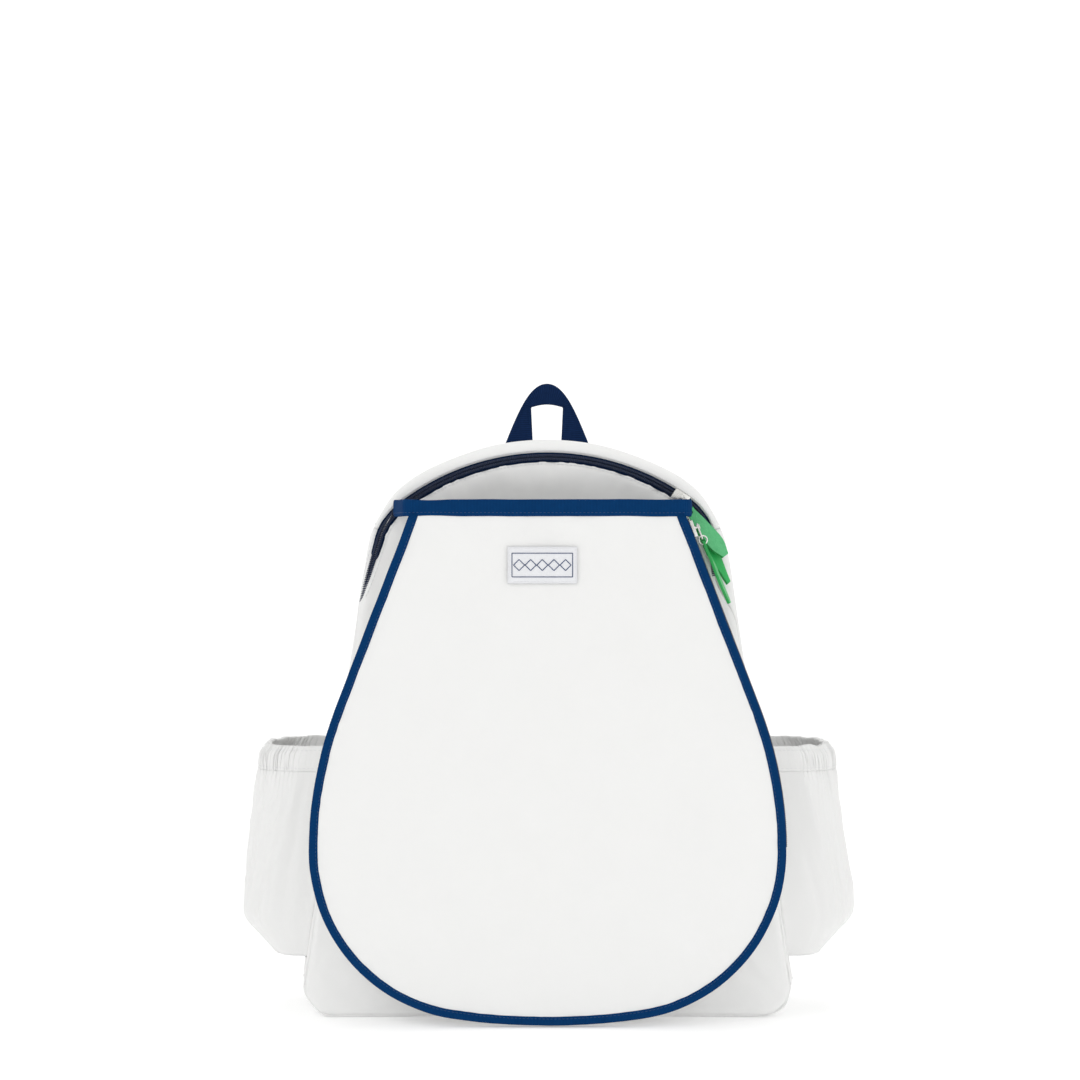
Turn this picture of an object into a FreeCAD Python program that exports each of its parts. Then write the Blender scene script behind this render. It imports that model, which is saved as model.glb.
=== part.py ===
import FreeCAD, Part
import math
import os

import Sketcher
from FreeCAD import Placement, Rotation, Vector

# A racket backpack: a tall main compartment with a zipped mouth over its top,
# a teardrop racket pocket on its front, a gathered bottle pocket on each side,
# and two padded shoulder straps on its back.
#
# Frame: +X is to the right of someone facing the racket pocket, -Y is towards
# them, +Z is up.  The bag stands on z = 0 with its box centred on the origin.
# "Inset" always means a distance inwards from an outline.

SIZES = (
    # Main compartment, seen from the front.
    ("body_height", 447, "top of the main compartment above the floor"),
    ("base_half", 190, "half of its width at the base"),
    ("base_corner", 24, "radius of its two bottom corners"),
    ("shoulder_radius", 54, "radius of its two shoulders"),
    ("shoulder_offset", 84.8, "centre of a shoulder from the middle"),
    ("top_radius", 197.6, "radius of the arched top"),
    # Main compartment, seen from the side.
    ("body_front", 56, "front face, in front of the origin"),
    ("body_back", 70, "back face, behind the origin"),
    ("front_round", 8, "rounding of the front edge"),
    ("back_round", 3, "rounding of the back edge"),
    ("wall", 3, "padded fabric wall"),
    ("lining", 1.5, "lining fabric"),
    ("back_fabric", 2, "outer fabric of the back"),
    ("back_foam", 6, "foam of the back"),
    ("base_board", 4, "stiffening board in the base"),
    ("board_gap", 2, "board to walls"),
    # Zip chain, the same on both zips.
    ("zip_width", 9.6, "both tapes of a zip together"),
    ("zip_slot", 1.6, "slot between the two tapes, for the slider's neck"),
    ("tape_thick", 1.5, "zip tape"),
    ("coil_width", 2.2, "one row of coil"),
    ("coil_tall", 1.6, "coil above its tape"),
    ("zip_start", 8, "outline to the outer edge of the main zip"),
    ("zip_end_height", 322, "lower end of the main zip"),
    ("zip_end_angle", 37, "right end of the main zip, from the top"),
    ("slider_angle", 33.8, "closed place of the main slider, from the top"),
    ("main_hang", -19, "main pull turned from its zip by its own weight, in degrees"),
    ("gusset_low", 26, "seam between the base and the side gussets"),
    ("gusset_high", 380, "seam between the side gussets and the top"),
    # Racket pocket.
    ("pocket_front", 94, "front face of the racket pocket"),
    ("pocket_top", 388, "top edge of its panel"),
    ("pocket_bottom", 1, "lowest point of its panel"),
    ("pocket_half", 181.5, "half of its greatest width"),
    ("pocket_corner", 128.5, "radius of its lower corners"),
    ("pocket_belly", 503.5, "radius of its lower edge"),
    ("pocket_side", 303.5, "radius of its sides above the corners"),
    ("pocket_lean", 20.9, "lean of its upper sides, in degrees"),
    ("pocket_panel", 1.5, "fabric of its front panel"),
    ("pocket_foam", 1.5, "foam behind its front panel"),
    ("piping_width", 7, "bound edge, seen from the front"),
    ("piping_proud", 1.5, "bound edge in front of the panel"),
    ("pocket_straight", 14, "gusset depth that carries the side zip"),
    ("pocket_taper", 24, "gusset drawn in towards the body"),
    ("gusset_wall", 2, "gusset fabric"),
    ("pocket_zip_end", 135, "lower end of the pocket's side zip"),
    ("binding_left", 117, "left end of the mouth binding"),
    ("binding_right", 113, "right end of the mouth binding"),
    ("binding_tall", 13, "height of the mouth binding"),
    ("label_wide", 53, "sewn label"),
    ("label_tall", 28, "sewn label"),
    ("label_height", 351, "middle of the label above the floor"),
    ("label_shift", 4, "middle of the label left of the middle"),
    ("label_thick", 0.8, "sewn label"),
    # Side pockets.
    ("side_top", 210, "top edge of a side pocket"),
    ("side_bottom", 38, "bottom of a side pocket"),
    ("side_belly_half", 242, "greatest reach of a side pocket"),
    ("side_deep", 112, "front to back"),
    ("side_middle", 8, "middle of a side pocket behind the origin"),
    ("side_round", 34, "rounding of its outer edges"),
    ("side_foot_round", 46, "radius of its lower corner"),
    ("side_swell", 427, "radius of its outer side above its greatest reach"),
    ("side_root", 140, "hidden inner edge of the form that it is cut from"),
    ("side_wall", 2, "side pocket fabric"),
    ("elastic_tall", 20, "gathered elastic top"),
    # Grab handle.
    ("handle_height", 497, "top of the grab handle"),
    ("handle_base", 435, "where its webbing leaves the yoke"),
    ("handle_base_half", 32, "half of its width at the yoke"),
    ("handle_top_half", 23, "half of its width at the top"),
    ("handle_round", 16, "its outer corners"),
    ("handle_gap_half", 13, "half of the finger gap"),
    ("handle_gap_top", 479, "top of the finger gap"),
    ("webbing_thick", 2.5, "heavy webbing"),
    ("yoke_half", 72, "half of the width of the strap yoke"),
    ("yoke_low", 405, "lower edge of the yoke"),
    ("yoke_thick", 3, "yoke fabric"),
    ("yoke_corner", 12, "cut-off upper corners of the yoke"),
    ("sewn_gap", 0.1, "between webbing and the fabric that it is sewn to"),
    # Shoulder straps.
    ("strap_reach", 95.5, "greatest reach of the straps behind the origin"),
    ("strap_thick", 11, "padded strap"),
    ("strap_low", 182, "lower end of the padded strap"),
    ("strap_end_reach", 82, "outer face of its lower end"),
    ("strap_arch", 447, "radius of its curve away from the back"),
    ("strap_top_in", 12, "inner edge at the yoke"),
    ("strap_top_out", 68, "outer edge at the yoke"),
    ("strap_end_in", 74, "inner edge at the lower end"),
    ("strap_end_out", 116, "outer edge at the lower end"),
    ("strap_bow", 330, "radius of its sideways curve"),
    ("strap_gap", 0.3, "top of the strap to the back"),
    ("webbing_wide", 25, "strap webbing"),
    ("strap_webbing", 1.6, "strap webbing thickness"),
    ("buckle_wide", 34, "ladder lock"),
    ("buckle_tall", 27, "ladder lock"),
    ("buckle_thick", 5, "ladder lock"),
    ("buckle_slot", 4.4, "each slot of the ladder lock"),
    ("buckle_rail", 3.5, "side rails of the ladder lock"),
    ("buckle_drop", 6, "padded strap to the ladder lock"),
    ("buckle_set", 2.2, "inner face of the ladder lock outside the strap's inner face"),
    ("loop_play", 0.3, "webbing loop to the bar inside it"),
    ("webbing_drop", 0.2, "ladder lock to the webbing below it"),
    ("tail_long", 78, "loose webbing below the ladder lock"),
    ("tail_gap", 1.2, "loose webbing to the webbing under it"),
    ("anchor_x", 152, "middle of a lower strap anchor"),
    ("anchor_low", 22, "lower edge of that anchor"),
    ("anchor_tall", 36, "height of that anchor"),
    ("anchor_half", 15, "half of its width"),
    ("anchor_lean", 8, "its top edge further out than its low edge"),
    ("anchor_slope", 12, "rise of its low edge"),
    ("anchor_lap", 14, "webbing sewn over it"),
    ("webbing_skew", 8, "slant of the webbing's sewn end"),
    # Zip pulls.
    ("slider_long", 13, "slider"),
    ("slider_wide", 8.6, "slider"),
    ("slider_plate", 1.2, "each plate of the slider"),
    ("slider_play", 0.3, "slider to coil and tape"),
    ("slider_lip", 0.8, "turned-down sides of the slider"),
    ("neck_wide", 1.1, "neck of the slider, in the slot"),
    ("neck_long", 3, "neck of the slider"),
    ("stud_size", 1.0, "radius of the slider's stud"),
    ("stud_top", 6.3, "underside of the stud's cap above the tape"),
    ("stud_cap", 0.7, "thickness of the stud's cap"),
    ("cap_size", 2.0, "radius of the stud's cap"),
    ("stud_play", 0.08, "link to stud"),
    ("link_height", 5.6, "middle of the link above the tape"),
    ("slider_drop", 10, "closed place of the pocket's slider below the panel's top"),
    ("link_long", 7.5, "stud to ring along the link"),
    ("link_thick", 1.0, "flat link"),
    ("link_half", 3.0, "half of the link's width"),
    ("link_eye", 2.0, "radius of the link's ring hole"),
    ("ring_radius", 3.2, "pull ring, to the middle of its wire"),
    ("ring_wire", 0.6, "radius of the pull ring's wire"),
    ("main_leaf", 48, "front leather leaf of the main pull"),
    ("main_back_leaf", 64, "leaf behind it"),
    ("pocket_leaf", 56, "leaf of the pocket's pull"),
    ("leaf_half", 9.3, "half of a leaf's greatest width"),
    ("leaf_widest", 34, "ring hole to its greatest width"),
    ("leaf_end", 2.4, "leather above the ring hole"),
    ("leaf_play", 0.1, "half of the gap between two leaves"),
    ("leaf_neck", 4.5, "half of its width at the ring"),
    ("leaf_tip", 3.5, "half of its width at its blunt tip"),
    ("leaf_thick", 2, "leather"),
    ("leaf_eye", 1.8, "radius of its ring hole"),
)

OVER = 40  # how far a cutting form runs past what it cuts


doc = FreeCAD.newDocument("racket_backpack")
sheet = doc.addObject("Spreadsheet::Sheet", "Sizes")
for row, (alias, size, note) in enumerate(SIZES, start=1):
    sheet.set(f"A{row}", alias)
    sheet.set(f"B{row}", str(size))
    sheet.set(f"C{row}", note)
    sheet.setAlias(f"B{row}", alias)
doc.recompute()


def mm(alias):
    """The sheet's value of one size."""
    return float(sheet.get(alias))


def cell(text):
    """An expression with every size name turned into a reference to the sheet."""
    words = text.split(" ")
    names = {alias for alias, _, _ in SIZES}
    return " ".join(f"Sizes.{word}" if word in names else word for word in words)


def less(whole, part):
    """The expression for the whole less every term of the part."""
    flipped = {"+": "-", "-": "+"}
    words = [flipped.get(word, word) for word in part.split(" ")]
    return f"{whole} - {' '.join(words)}"


def number(text):
    """The value of the same kind of expression: names and numbers joined by + and -."""
    total = 0.0
    sign = 1.0
    for word in text.split(" "):
        if word == "+":
            sign = 1.0
        elif word == "-":
            sign = -1.0
        else:
            names = {alias for alias, _, _ in SIZES}
            total += sign * (mm(word) if word in names else float(word))
    return total


# ---------------------------------------------------------------- sketching


def new_body(name):
    body = doc.addObject("PartDesign::Body", name)
    body.Label = name
    return body


def new_sketch(body, name, plane, offset="0"):
    """A sketch on one of the body's origin planes, moved along its normal.

    On XZ_Plane the sketch's axes are X and Z and its normal is -Y, so an offset
    is a distance in front of the origin."""
    sketch = body.newObject("Sketcher::SketchObject", name)
    support = [item for item in body.Origin.OriginFeatures if item.Role == plane][0]
    sketch.AttachmentSupport = [(support, "")]
    sketch.MapMode = "FlatFace"
    sketch.setExpression("AttachmentOffset.Base.z", cell(offset))
    return sketch


def bind(sketch, kind, *places, size):
    """Add a dimension and tie it to the sheet."""
    index = sketch.addConstraint(Sketcher.Constraint(kind, *places, number(size)))
    sketch.setExpression(f"Constraints[{index}]", cell(size))


def add_line(sketch, start, end):
    return sketch.addGeometry(Part.LineSegment(Vector(*start), Vector(*end)))


def add_arc(sketch, centre, radius, start_angle, end_angle):
    circle = Part.Circle(Vector(*centre), Vector(0, 0, 1), radius)
    return sketch.addGeometry(Part.ArcOfCircle(circle, start_angle, end_angle))


def join(sketch, chain, smooth):
    """Join curves end to end; a pair is (curve, its end) with 1 = start, 2 = end."""
    for (first, first_end), (second, second_end), is_smooth in zip(
            chain[0::2], chain[1::2], smooth):
        kind = "Tangent" if is_smooth else "Coincident"
        sketch.addConstraint(
            Sketcher.Constraint(kind, first, first_end, second, second_end))


def polygon(sketch, corners):
    """Closed straight outline; each corner is a pair of expressions."""
    points = [(number(across), number(up)) for across, up in corners]
    count = len(points)
    lines = [add_line(sketch, (*points[i], 0), (*points[(i + 1) % count], 0))
             for i in range(count)]
    for i in range(count):
        sketch.addConstraint(Sketcher.Constraint(
            "Coincident", lines[i], 2, lines[(i + 1) % count], 1))
        place_point(sketch, lines[i], 1, corners[i])


def place_point(sketch, curve, end, corner):
    """Pin a point of a curve; a pinned coordinate may be negative."""
    for kind, size in zip(("DistanceX", "DistanceY"), corner):
        bind(sketch, kind, -1, 1, curve, end, size=size)


def circle_at(sketch, across, up, radius):
    circle = Part.Circle(Vector(number(across), number(up), 0), Vector(0, 0, 1),
                         number(radius))
    curve = sketch.addGeometry(circle)
    place_point(sketch, curve, 3, (across, up))
    bind(sketch, "Radius", curve, size=radius)


def body_outline(sketch, inset="0"):
    """The main compartment from the front: flat base, leaning sides, arched top."""
    gap = number(inset)
    corner = mm("base_corner")
    shoulder = mm("shoulder_radius")
    arch = mm("top_radius")
    low = Vector(mm("base_half") - corner, corner, 0)
    arch_centre = Vector(0, mm("body_height") - arch, 0)
    rise = math.sqrt((arch - shoulder) ** 2 - mm("shoulder_offset") ** 2)
    high = arch_centre + Vector(mm("shoulder_offset"), rise, 0)
    between = high - low
    lean = math.atan2(between.y, between.x) - math.acos((corner - shoulder) / between.Length)
    crest = math.atan2(rise, mm("shoulder_offset"))
    normal = Vector(math.cos(lean), math.sin(lean), 0)

    curves = {"base": add_line(sketch, (-low.x, gap, 0), (low.x, gap, 0))}
    for side, name in ((1, "right"), (-1, "left")):
        low_centre = (side * low.x, low.y, 0)
        high_centre = (side * high.x, high.y, 0)
        start = low + normal * (corner - gap)
        end = high + normal * (shoulder - gap)
        curves[name] = add_line(sketch, (side * start.x, start.y, 0), (side * end.x, end.y, 0))
        if side > 0:
            angles = ((-math.pi / 2, lean), (lean, crest))
        else:
            angles = ((math.pi - lean, math.pi * 1.5), (math.pi - crest, math.pi - lean))
        curves[name + "_foot"] = add_arc(sketch, low_centre, corner - gap, *angles[0])
        curves[name + "_shoulder"] = add_arc(sketch, high_centre, shoulder - gap, *angles[1])
        bind(sketch, "Radius", curves[name + "_foot"], size=less("base_corner", inset))
        bind(sketch, "Radius", curves[name + "_shoulder"], size=less("shoulder_radius", inset))
    arch_at = tuple(arch_centre)
    curves["top"] = add_arc(sketch, arch_at, arch - gap, crest, math.pi - crest)

    chain = [
        (curves["base"], 2), (curves["right_foot"], 1),
        (curves["right_foot"], 2), (curves["right"], 1),
        (curves["right"], 2), (curves["right_shoulder"], 1),
        (curves["right_shoulder"], 2), (curves["top"], 1),
        (curves["top"], 2), (curves["left_shoulder"], 1),
        (curves["left_shoulder"], 2), (curves["left"], 2),
        (curves["left"], 1), (curves["left_foot"], 1),
        (curves["left_foot"], 2), (curves["base"], 1)]
    join(sketch, chain, [True] * 8)
    sketch.addConstraint(Sketcher.Constraint("Horizontal", curves["base"]))
    bind(sketch, "DistanceY", -1, 1, curves["base"], 1, size=inset)
    sketch.addConstraint(Sketcher.Constraint("PointOnObject", curves["top"], 3, -2))
    bind(sketch, "Radius", curves["top"], size=less("top_radius", inset))
    bind(sketch, "DistanceY", -1, 1, curves["top"], 3, size="body_height - top_radius")
    for name, foot, offset in (
            ("right", "base_half - base_corner", "shoulder_offset"),
            ("left", "base_corner - base_half", "0 - shoulder_offset")):
        bind(sketch, "DistanceX", -1, 1, curves[name + "_foot"], 3, size=foot)
        bind(sketch, "DistanceX", -1, 1, curves[name + "_shoulder"], 3, size=offset)


def pocket_outline(sketch, inset="0", top="pocket_top"):
    """The racket pocket from the front: a teardrop cut straight across its top."""
    gap = number(inset)
    lean = math.radians(mm("pocket_lean"))
    corner = mm("pocket_corner")
    belly = mm("pocket_belly")
    side_radius = mm("pocket_side")
    height = number(top)
    across = mm("pocket_half") - corner
    belly_up = mm("pocket_bottom") + belly
    up = belly_up - math.sqrt((belly - corner) ** 2 - across ** 2)
    heel = math.atan2(up - belly_up, across)
    side_centre = mm("pocket_half") - side_radius

    curves = {"belly": add_arc(sketch, (0, belly_up, 0), belly - gap, math.pi - heel, heel)}
    bend_x = side_centre + (side_radius - gap) * math.cos(lean)
    bend_y = up + (side_radius - gap) * math.sin(lean)
    top_x = bend_x - (height - bend_y) * math.tan(lean)
    curves["top"] = add_line(sketch, (top_x, height, 0), (-top_x, height, 0))
    for side, name in ((1, "right"), (-1, "left")):
        curves[name] = add_line(sketch, (side * bend_x, bend_y, 0), (side * top_x, height, 0))
        if side > 0:
            angles = ((heel, 0), (0, lean))
        else:
            angles = ((math.pi, math.pi - heel), (math.pi - lean, math.pi))
        curves[name + "_corner"] = add_arc(sketch, (side * across, up, 0), corner - gap,
                                           *angles[0])
        curves[name + "_side"] = add_arc(sketch, (side * side_centre, up, 0),
                                         side_radius - gap, *angles[1])
        bind(sketch, "Radius", curves[name + "_corner"], size=less("pocket_corner", inset))
        bind(sketch, "Radius", curves[name + "_side"], size=less("pocket_side", inset))
    chain = [
        (curves["belly"], 2), (curves["right_corner"], 1),
        (curves["right_corner"], 2), (curves["right_side"], 1),
        (curves["right_side"], 2), (curves["right"], 1),
        (curves["right"], 2), (curves["top"], 1),
        (curves["top"], 2), (curves["left"], 2),
        (curves["left"], 1), (curves["left_side"], 1),
        (curves["left_side"], 2), (curves["left_corner"], 1),
        (curves["left_corner"], 2), (curves["belly"], 1)]
    join(sketch, chain, [True, True, True, False, False, True, True, True])
    sketch.addConstraint(Sketcher.Constraint("Horizontal", curves["top"]))
    bind(sketch, "DistanceY", -1, 1, curves["top"], 1, size=top)
    sketch.addConstraint(Sketcher.Constraint("PointOnObject", curves["belly"], 3, -2))
    bind(sketch, "Radius", curves["belly"], size=less("pocket_belly", inset))
    bind(sketch, "DistanceY", -1, 1, curves["belly"], 3, size="pocket_bottom + pocket_belly")
    for name, turn in (("right", 1), ("left", -1)):
        out = "pocket_half - pocket_corner" if turn > 0 else "pocket_corner - pocket_half"
        bind(sketch, "DistanceX", -1, 1, curves[name + "_corner"], 3, size=out)
        sketch.addConstraint(Sketcher.Constraint(
            "Horizontal", curves[name + "_corner"], 3, curves[name + "_side"], 3))
        angle = sketch.addConstraint(Sketcher.Constraint(
            "Angle", curves[name], math.pi / 2 + turn * lean))
        sketch.setExpression(f"Constraints[{angle}]",
                             f"(90 + {turn} * Sizes.pocket_lean) * 1 deg")


def bow(sketch, start, end, radius, side):
    """An arc of a given radius between two pinned points; it swells to the left of
    start-to-end where side is 1 and to the right where it is -1."""
    first = Vector(number(start[0]), number(start[1]), 0)
    last = Vector(number(end[0]), number(end[1]), 0)
    chord = last - first
    size = number(radius)
    normal = Vector(-chord.y, chord.x, 0) / chord.Length
    back = math.sqrt(size ** 2 - (chord.Length / 2) ** 2)
    centre = (first + last) / 2 - normal * back * side
    angles = [math.atan2(point.y - centre.y, point.x - centre.x) for point in (first, last)]
    ends = (1, 2)
    if side > 0:
        angles.reverse()
        ends = (2, 1)
    curve = add_arc(sketch, tuple(centre), size, *angles)
    place_point(sketch, curve, ends[0], start)
    place_point(sketch, curve, ends[1], end)
    return curve


def edge_line(sketch, start, end):
    """A line between two pinned points."""
    line = add_line(sketch, (number(start[0]), number(start[1]), 0),
                    (number(end[0]), number(end[1]), 0))
    place_point(sketch, line, 1, start)
    place_point(sketch, line, 2, end)
    return line


# ---------------------------------------------------------- making and cutting


def pad(body, sketch, length):
    """Pad along the sketch's normal by a length from the sheet."""
    feature = body.newObject("PartDesign::Pad", sketch.Name + "_pad")
    feature.Profile = sketch
    feature.Length = number(length)
    feature.setExpression("Length", cell(length))
    return feature


def round_edges(body, feature, radius, chosen):
    """Fillet the edges for which chosen(edge) is true."""
    doc.recompute()
    names = [f"Edge{i}" for i, edge in enumerate(feature.Shape.Edges, start=1) if chosen(edge)]
    fillet = body.newObject("PartDesign::Fillet", body.Name + "_round")
    fillet.Base = (feature, names)
    fillet.Radius = number(radius)
    fillet.setExpression("Radius", cell(radius))
    return fillet


def lies_at(axis, place):
    """Picks the edges whose ends are all at one place along an axis."""
    def chosen(edge):
        return all(abs(getattr(vertex.Point, axis) - place) < 1e-4 for vertex in edge.Vertexes)
    return chosen


def prism(name, outline, inset, front, length, **extra):
    """An outline drawn at a distance in front of the origin and padded forwards."""
    body = new_body(name)
    sketch = new_sketch(body, name + "_sketch", "XZ_Plane", front)
    outline(sketch, inset, **extra)
    pad(body, sketch, length)
    return body


def band(name, outline, outer, inner, front, length):
    """The ring between two insets of one outline, padded forwards."""
    body = new_body(name)
    sketch = new_sketch(body, name + "_sketch", "XZ_Plane", front)
    outline(sketch, outer)
    outline(sketch, inner)
    pad(body, sketch, length)
    return body


def combine(kind, name, base, tool):
    """A boolean of two objects; kind is Cut, Common or Fuse."""
    feature = doc.addObject("Part::" + kind, name)
    feature.Base = base
    feature.Tool = tool
    return feature


def mirrored(name, source):
    """The same piece on the other side of the bag."""
    feature = doc.addObject("Part::Mirroring", name)
    feature.Source = source
    feature.Normal = Vector(1, 0, 0)
    return feature


def block(name, low, size):
    """A box from its lowest corner and its three lengths, all expressions."""
    feature = doc.addObject("Part::Box", name)
    for side, length in zip(("Length", "Width", "Height"), size):
        feature.setExpression(side, cell(length))
    for axis, place in zip("xyz", low):
        feature.setExpression(f"Placement.Base.{axis}", cell(place))
    return feature


# ------------------------------------------------------------ main compartment


def main_forms():
    """The compartment's solid outer form, and its walls without the back."""
    form = new_body("body_form")
    sketch = new_sketch(form, "body_form_sketch", "XZ_Plane", "0 - body_back")
    body_outline(sketch)
    solid = pad(form, sketch, "body_back + body_front")
    front = round_edges(form, solid, "front_round", lies_at("y", -mm("body_front")))
    round_edges(form, front, "back_round", lies_at("y", mm("body_back")))
    hollow = new_body("body_hollow")
    sketch = new_sketch(hollow, "body_hollow_sketch", "XZ_Plane", f"0 - body_back - {OVER}")
    body_outline(sketch, "wall")
    solid = pad(hollow, sketch, f"body_back + {OVER} + body_front - wall")
    round_edges(hollow, solid, "front_round - wall", lies_at("y", mm("wall") - mm("body_front")))
    return form, combine("Cut", "walls", form, hollow)


def zip_span():
    """The part of the outline that the main zip takes: from low on the left, over
    the top, to just past the slider on the right."""
    body = new_body("zip_span")
    sketch = new_sketch(body, "zip_span_sketch", "XZ_Plane", f"body_front - {OVER}")
    reach = mm("top_radius") + 2 * OVER
    angle = math.radians(mm("zip_end_angle"))
    left = f"{-reach:g}"
    right = f"{reach * math.sin(angle):.3f}"
    up = f"body_height - top_radius + {reach * math.cos(angle):.3f}"
    polygon(sketch, (
        (left, "zip_end_height"), ("0", "zip_end_height"),
        ("0", "body_height - top_radius"), (right, up), (left, up)))
    pad(body, sketch, f"{OVER} + {OVER}")
    return body


def main_compartment(walls, span):
    """Front panel, gussets and base, cut from the walls along their seams."""
    near = f"body_front - {OVER}"
    through = f"{OVER} + {OVER}"
    inside = prism("front_region", body_outline, "zip_start", near, through)
    track = band("zip_track", body_outline, "zip_start", "zip_start + zip_width", near, through)
    window = combine("Common", "zip_window", track, span)
    front_wall = combine("Common", "front_wall", walls, inside)
    pieces = [combine("Cut", "main_front_panel", front_wall, window)]
    casing = combine("Cut", "casing", walls, inside)
    half = f"base_half + {OVER}"
    whole = f"{half} + {half}"
    deep = f"body_back + body_front + {through}"
    corner = less("0", half)
    front = f"0 - body_front - {OVER}"
    tall = "gusset_high - gusset_low"
    zones = (
        ("base_panel", (corner, front, "0"), (whole, deep, "gusset_low")),
        ("top_gusset", (corner, front, "gusset_high"), (whole, deep, "body_height")),
        ("side_gusset_left", (corner, front, "gusset_low"), (half, deep, tall)),
        ("side_gusset_right", ("0", front, "gusset_low"), (half, deep, tall)),
    )
    for name, low, size in zones:
        pieces.append(combine("Common", name, casing, block(name + "_zone", low, size)))
    return pieces


def base_board():
    """Stiff board that keeps the base flat."""
    body = new_body("base_board")
    sketch = new_sketch(body, "base_board_sketch", "XY_Plane", "wall")
    half = less("base_half", "base_corner + board_gap")
    front = "front_round + board_gap - body_front"
    back = less("body_back", "back_fabric + back_foam + lining + board_gap")
    polygon(sketch, ((less("0", half), front), (half, front), (half, back),
                     (less("0", half), back)))
    pad(body, sketch, "base_board")
    return [body]


def back_layers():
    """The back: outer fabric, foam and lining, inside the ring of the gussets."""
    pieces = []
    depth = "0 - body_back"
    for name, thick in (("back_panel", "back_fabric"), ("back_foam_pad", "back_foam"),
                        ("back_lining", "lining")):
        pieces.append(prism(name, body_outline, "wall", depth, thick))
        depth = f"{depth} + {thick}"
    return pieces


# ----------------------------------------------------------------- zip chains


def tape_width():
    """One tape, from its outer edge to the slot between the two."""
    return (mm("zip_width") - mm("zip_slot")) / 2


def main_zip(span):
    """Two tapes and two rows of coil, level with the front face."""
    tape = f"{tape_width():g}"
    outer_slot = f"zip_start + {tape}"
    inner_slot = f"zip_start + {tape} + zip_slot"
    tape_back = "body_front - tape_thick"
    bands = (
        ("main_zip_outer_tape", "zip_start", outer_slot, tape_back, "tape_thick"),
        ("main_zip_inner_tape", inner_slot, "zip_start + zip_width", tape_back, "tape_thick"),
        ("main_zip_outer_coil", f"{outer_slot} - coil_width", outer_slot, "body_front",
         "coil_tall"),
        ("main_zip_inner_coil", inner_slot, f"{inner_slot} + coil_width", "body_front",
         "coil_tall"),
    )
    return [combine("Common", name, band(name + "_ring", body_outline, *rest), span)
            for name, *rest in bands]


def pocket_zip():
    """The same chain on the right side of the racket pocket, facing outwards."""
    behind = "pocket_front - pocket_panel - pocket_foam"
    tape = f"{tape_width():g}"
    zone = block("pocket_zip_zone", ("0", less("0", behind), "pocket_zip_end"),
                 (f"pocket_half + {OVER}", "zip_width", "pocket_top - pocket_zip_end"))
    slot_front = f"{behind} - {tape}"
    slot_back = f"{slot_front} - zip_slot"
    bands = (
        ("pocket_zip_front_tape", "0", "tape_thick", slot_front, tape),
        ("pocket_zip_back_tape", "0", "tape_thick", f"{slot_back} - {tape}", tape),
        ("pocket_zip_front_coil", "0 - coil_tall", "0", slot_front, "coil_width"),
        ("pocket_zip_back_coil", "0 - coil_tall", "0", f"{slot_back} - coil_width",
         "coil_width"),
    )
    pieces = []
    for name, outer, inner, front, length in bands:
        outside = prism(name + "_outside", pocket_outline, outer, front, length)
        inside = prism(name + "_inside", pocket_outline, inner, front, length,
                       top=f"pocket_top + {OVER}")
        ring = combine("Cut", name + "_ring", outside, inside)
        pieces.append(combine("Common", name, ring, zone))
    return pieces


# --------------------------------------------------------------- racket pocket


def racket_pocket_panel():
    """Front fabric, its foam, and the bound edge round both."""
    fabric_back = "pocket_front - pocket_panel"
    foam_back = f"{fabric_back} - pocket_foam"
    fabric = prism("racket_pocket_panel", pocket_outline, "piping_width", fabric_back,
                   "pocket_panel")
    foam = prism("racket_pocket_foam", pocket_outline, "piping_width", foam_back, "pocket_foam")
    deep = "pocket_panel + pocket_foam + piping_proud"
    edge = prism("piping_form", pocket_outline, "0", foam_back, deep)
    middle = prism("piping_middle", pocket_outline, "piping_width", foam_back, deep,
                   top=f"pocket_top + {OVER}")
    return [fabric, foam, combine("Cut", "racket_pocket_piping", edge, middle)]


def racket_pocket_gusset():
    """The strip between panel and body: straight behind the panel, then drawn in."""
    behind = "pocket_front - pocket_panel - pocket_foam"
    bend = f"{behind} - pocket_straight"
    over = f"pocket_top + {OVER}"
    straight = combine("Cut", "straight_ring",
                       prism("straight_outside", pocket_outline, "0", bend, "pocket_straight"),
                       prism("straight_inside", pocket_outline, "gusset_wall", bend,
                             "pocket_straight", top=over))
    tapers = []
    for name, inset, top in (("taper_outside", "0", "pocket_top"),
                             ("taper_inside", "gusset_wall", over)):
        body = new_body(name)
        wide = new_sketch(body, name + "_wide", "XZ_Plane", bend)
        pocket_outline(wide, inset, top)
        narrow = new_sketch(body, name + "_narrow", "XZ_Plane", "body_front")
        pocket_outline(narrow, f"pocket_taper + {inset}", top)
        loft = body.newObject("PartDesign::AdditiveLoft", name + "_loft")
        loft.Profile = wide
        loft.Sections = [narrow]
        loft.Ruled = True
        tapers.append(body)
    whole = combine("Fuse", "gusset_ring", straight, combine("Cut", "taper_ring", *tapers))
    window = block("pocket_zip_window", ("0", less("0", behind), "pocket_zip_end"),
                   (f"pocket_half + {OVER}", "zip_width", "pocket_top"))
    trimmed = combine("Cut", "gusset_trimmed", whole, window)
    pieces = []
    for side, start in (("left", f"0 - pocket_half - {OVER}"), ("right", "0")):
        zone = block(f"gusset_{side}_zone", (start, "0 - pocket_front", "0"),
                     (f"pocket_half + {OVER}", "pocket_front", over))
        pieces.append(combine("Common", f"racket_pocket_gusset_{side}", trimmed, zone))
    return pieces


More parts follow.
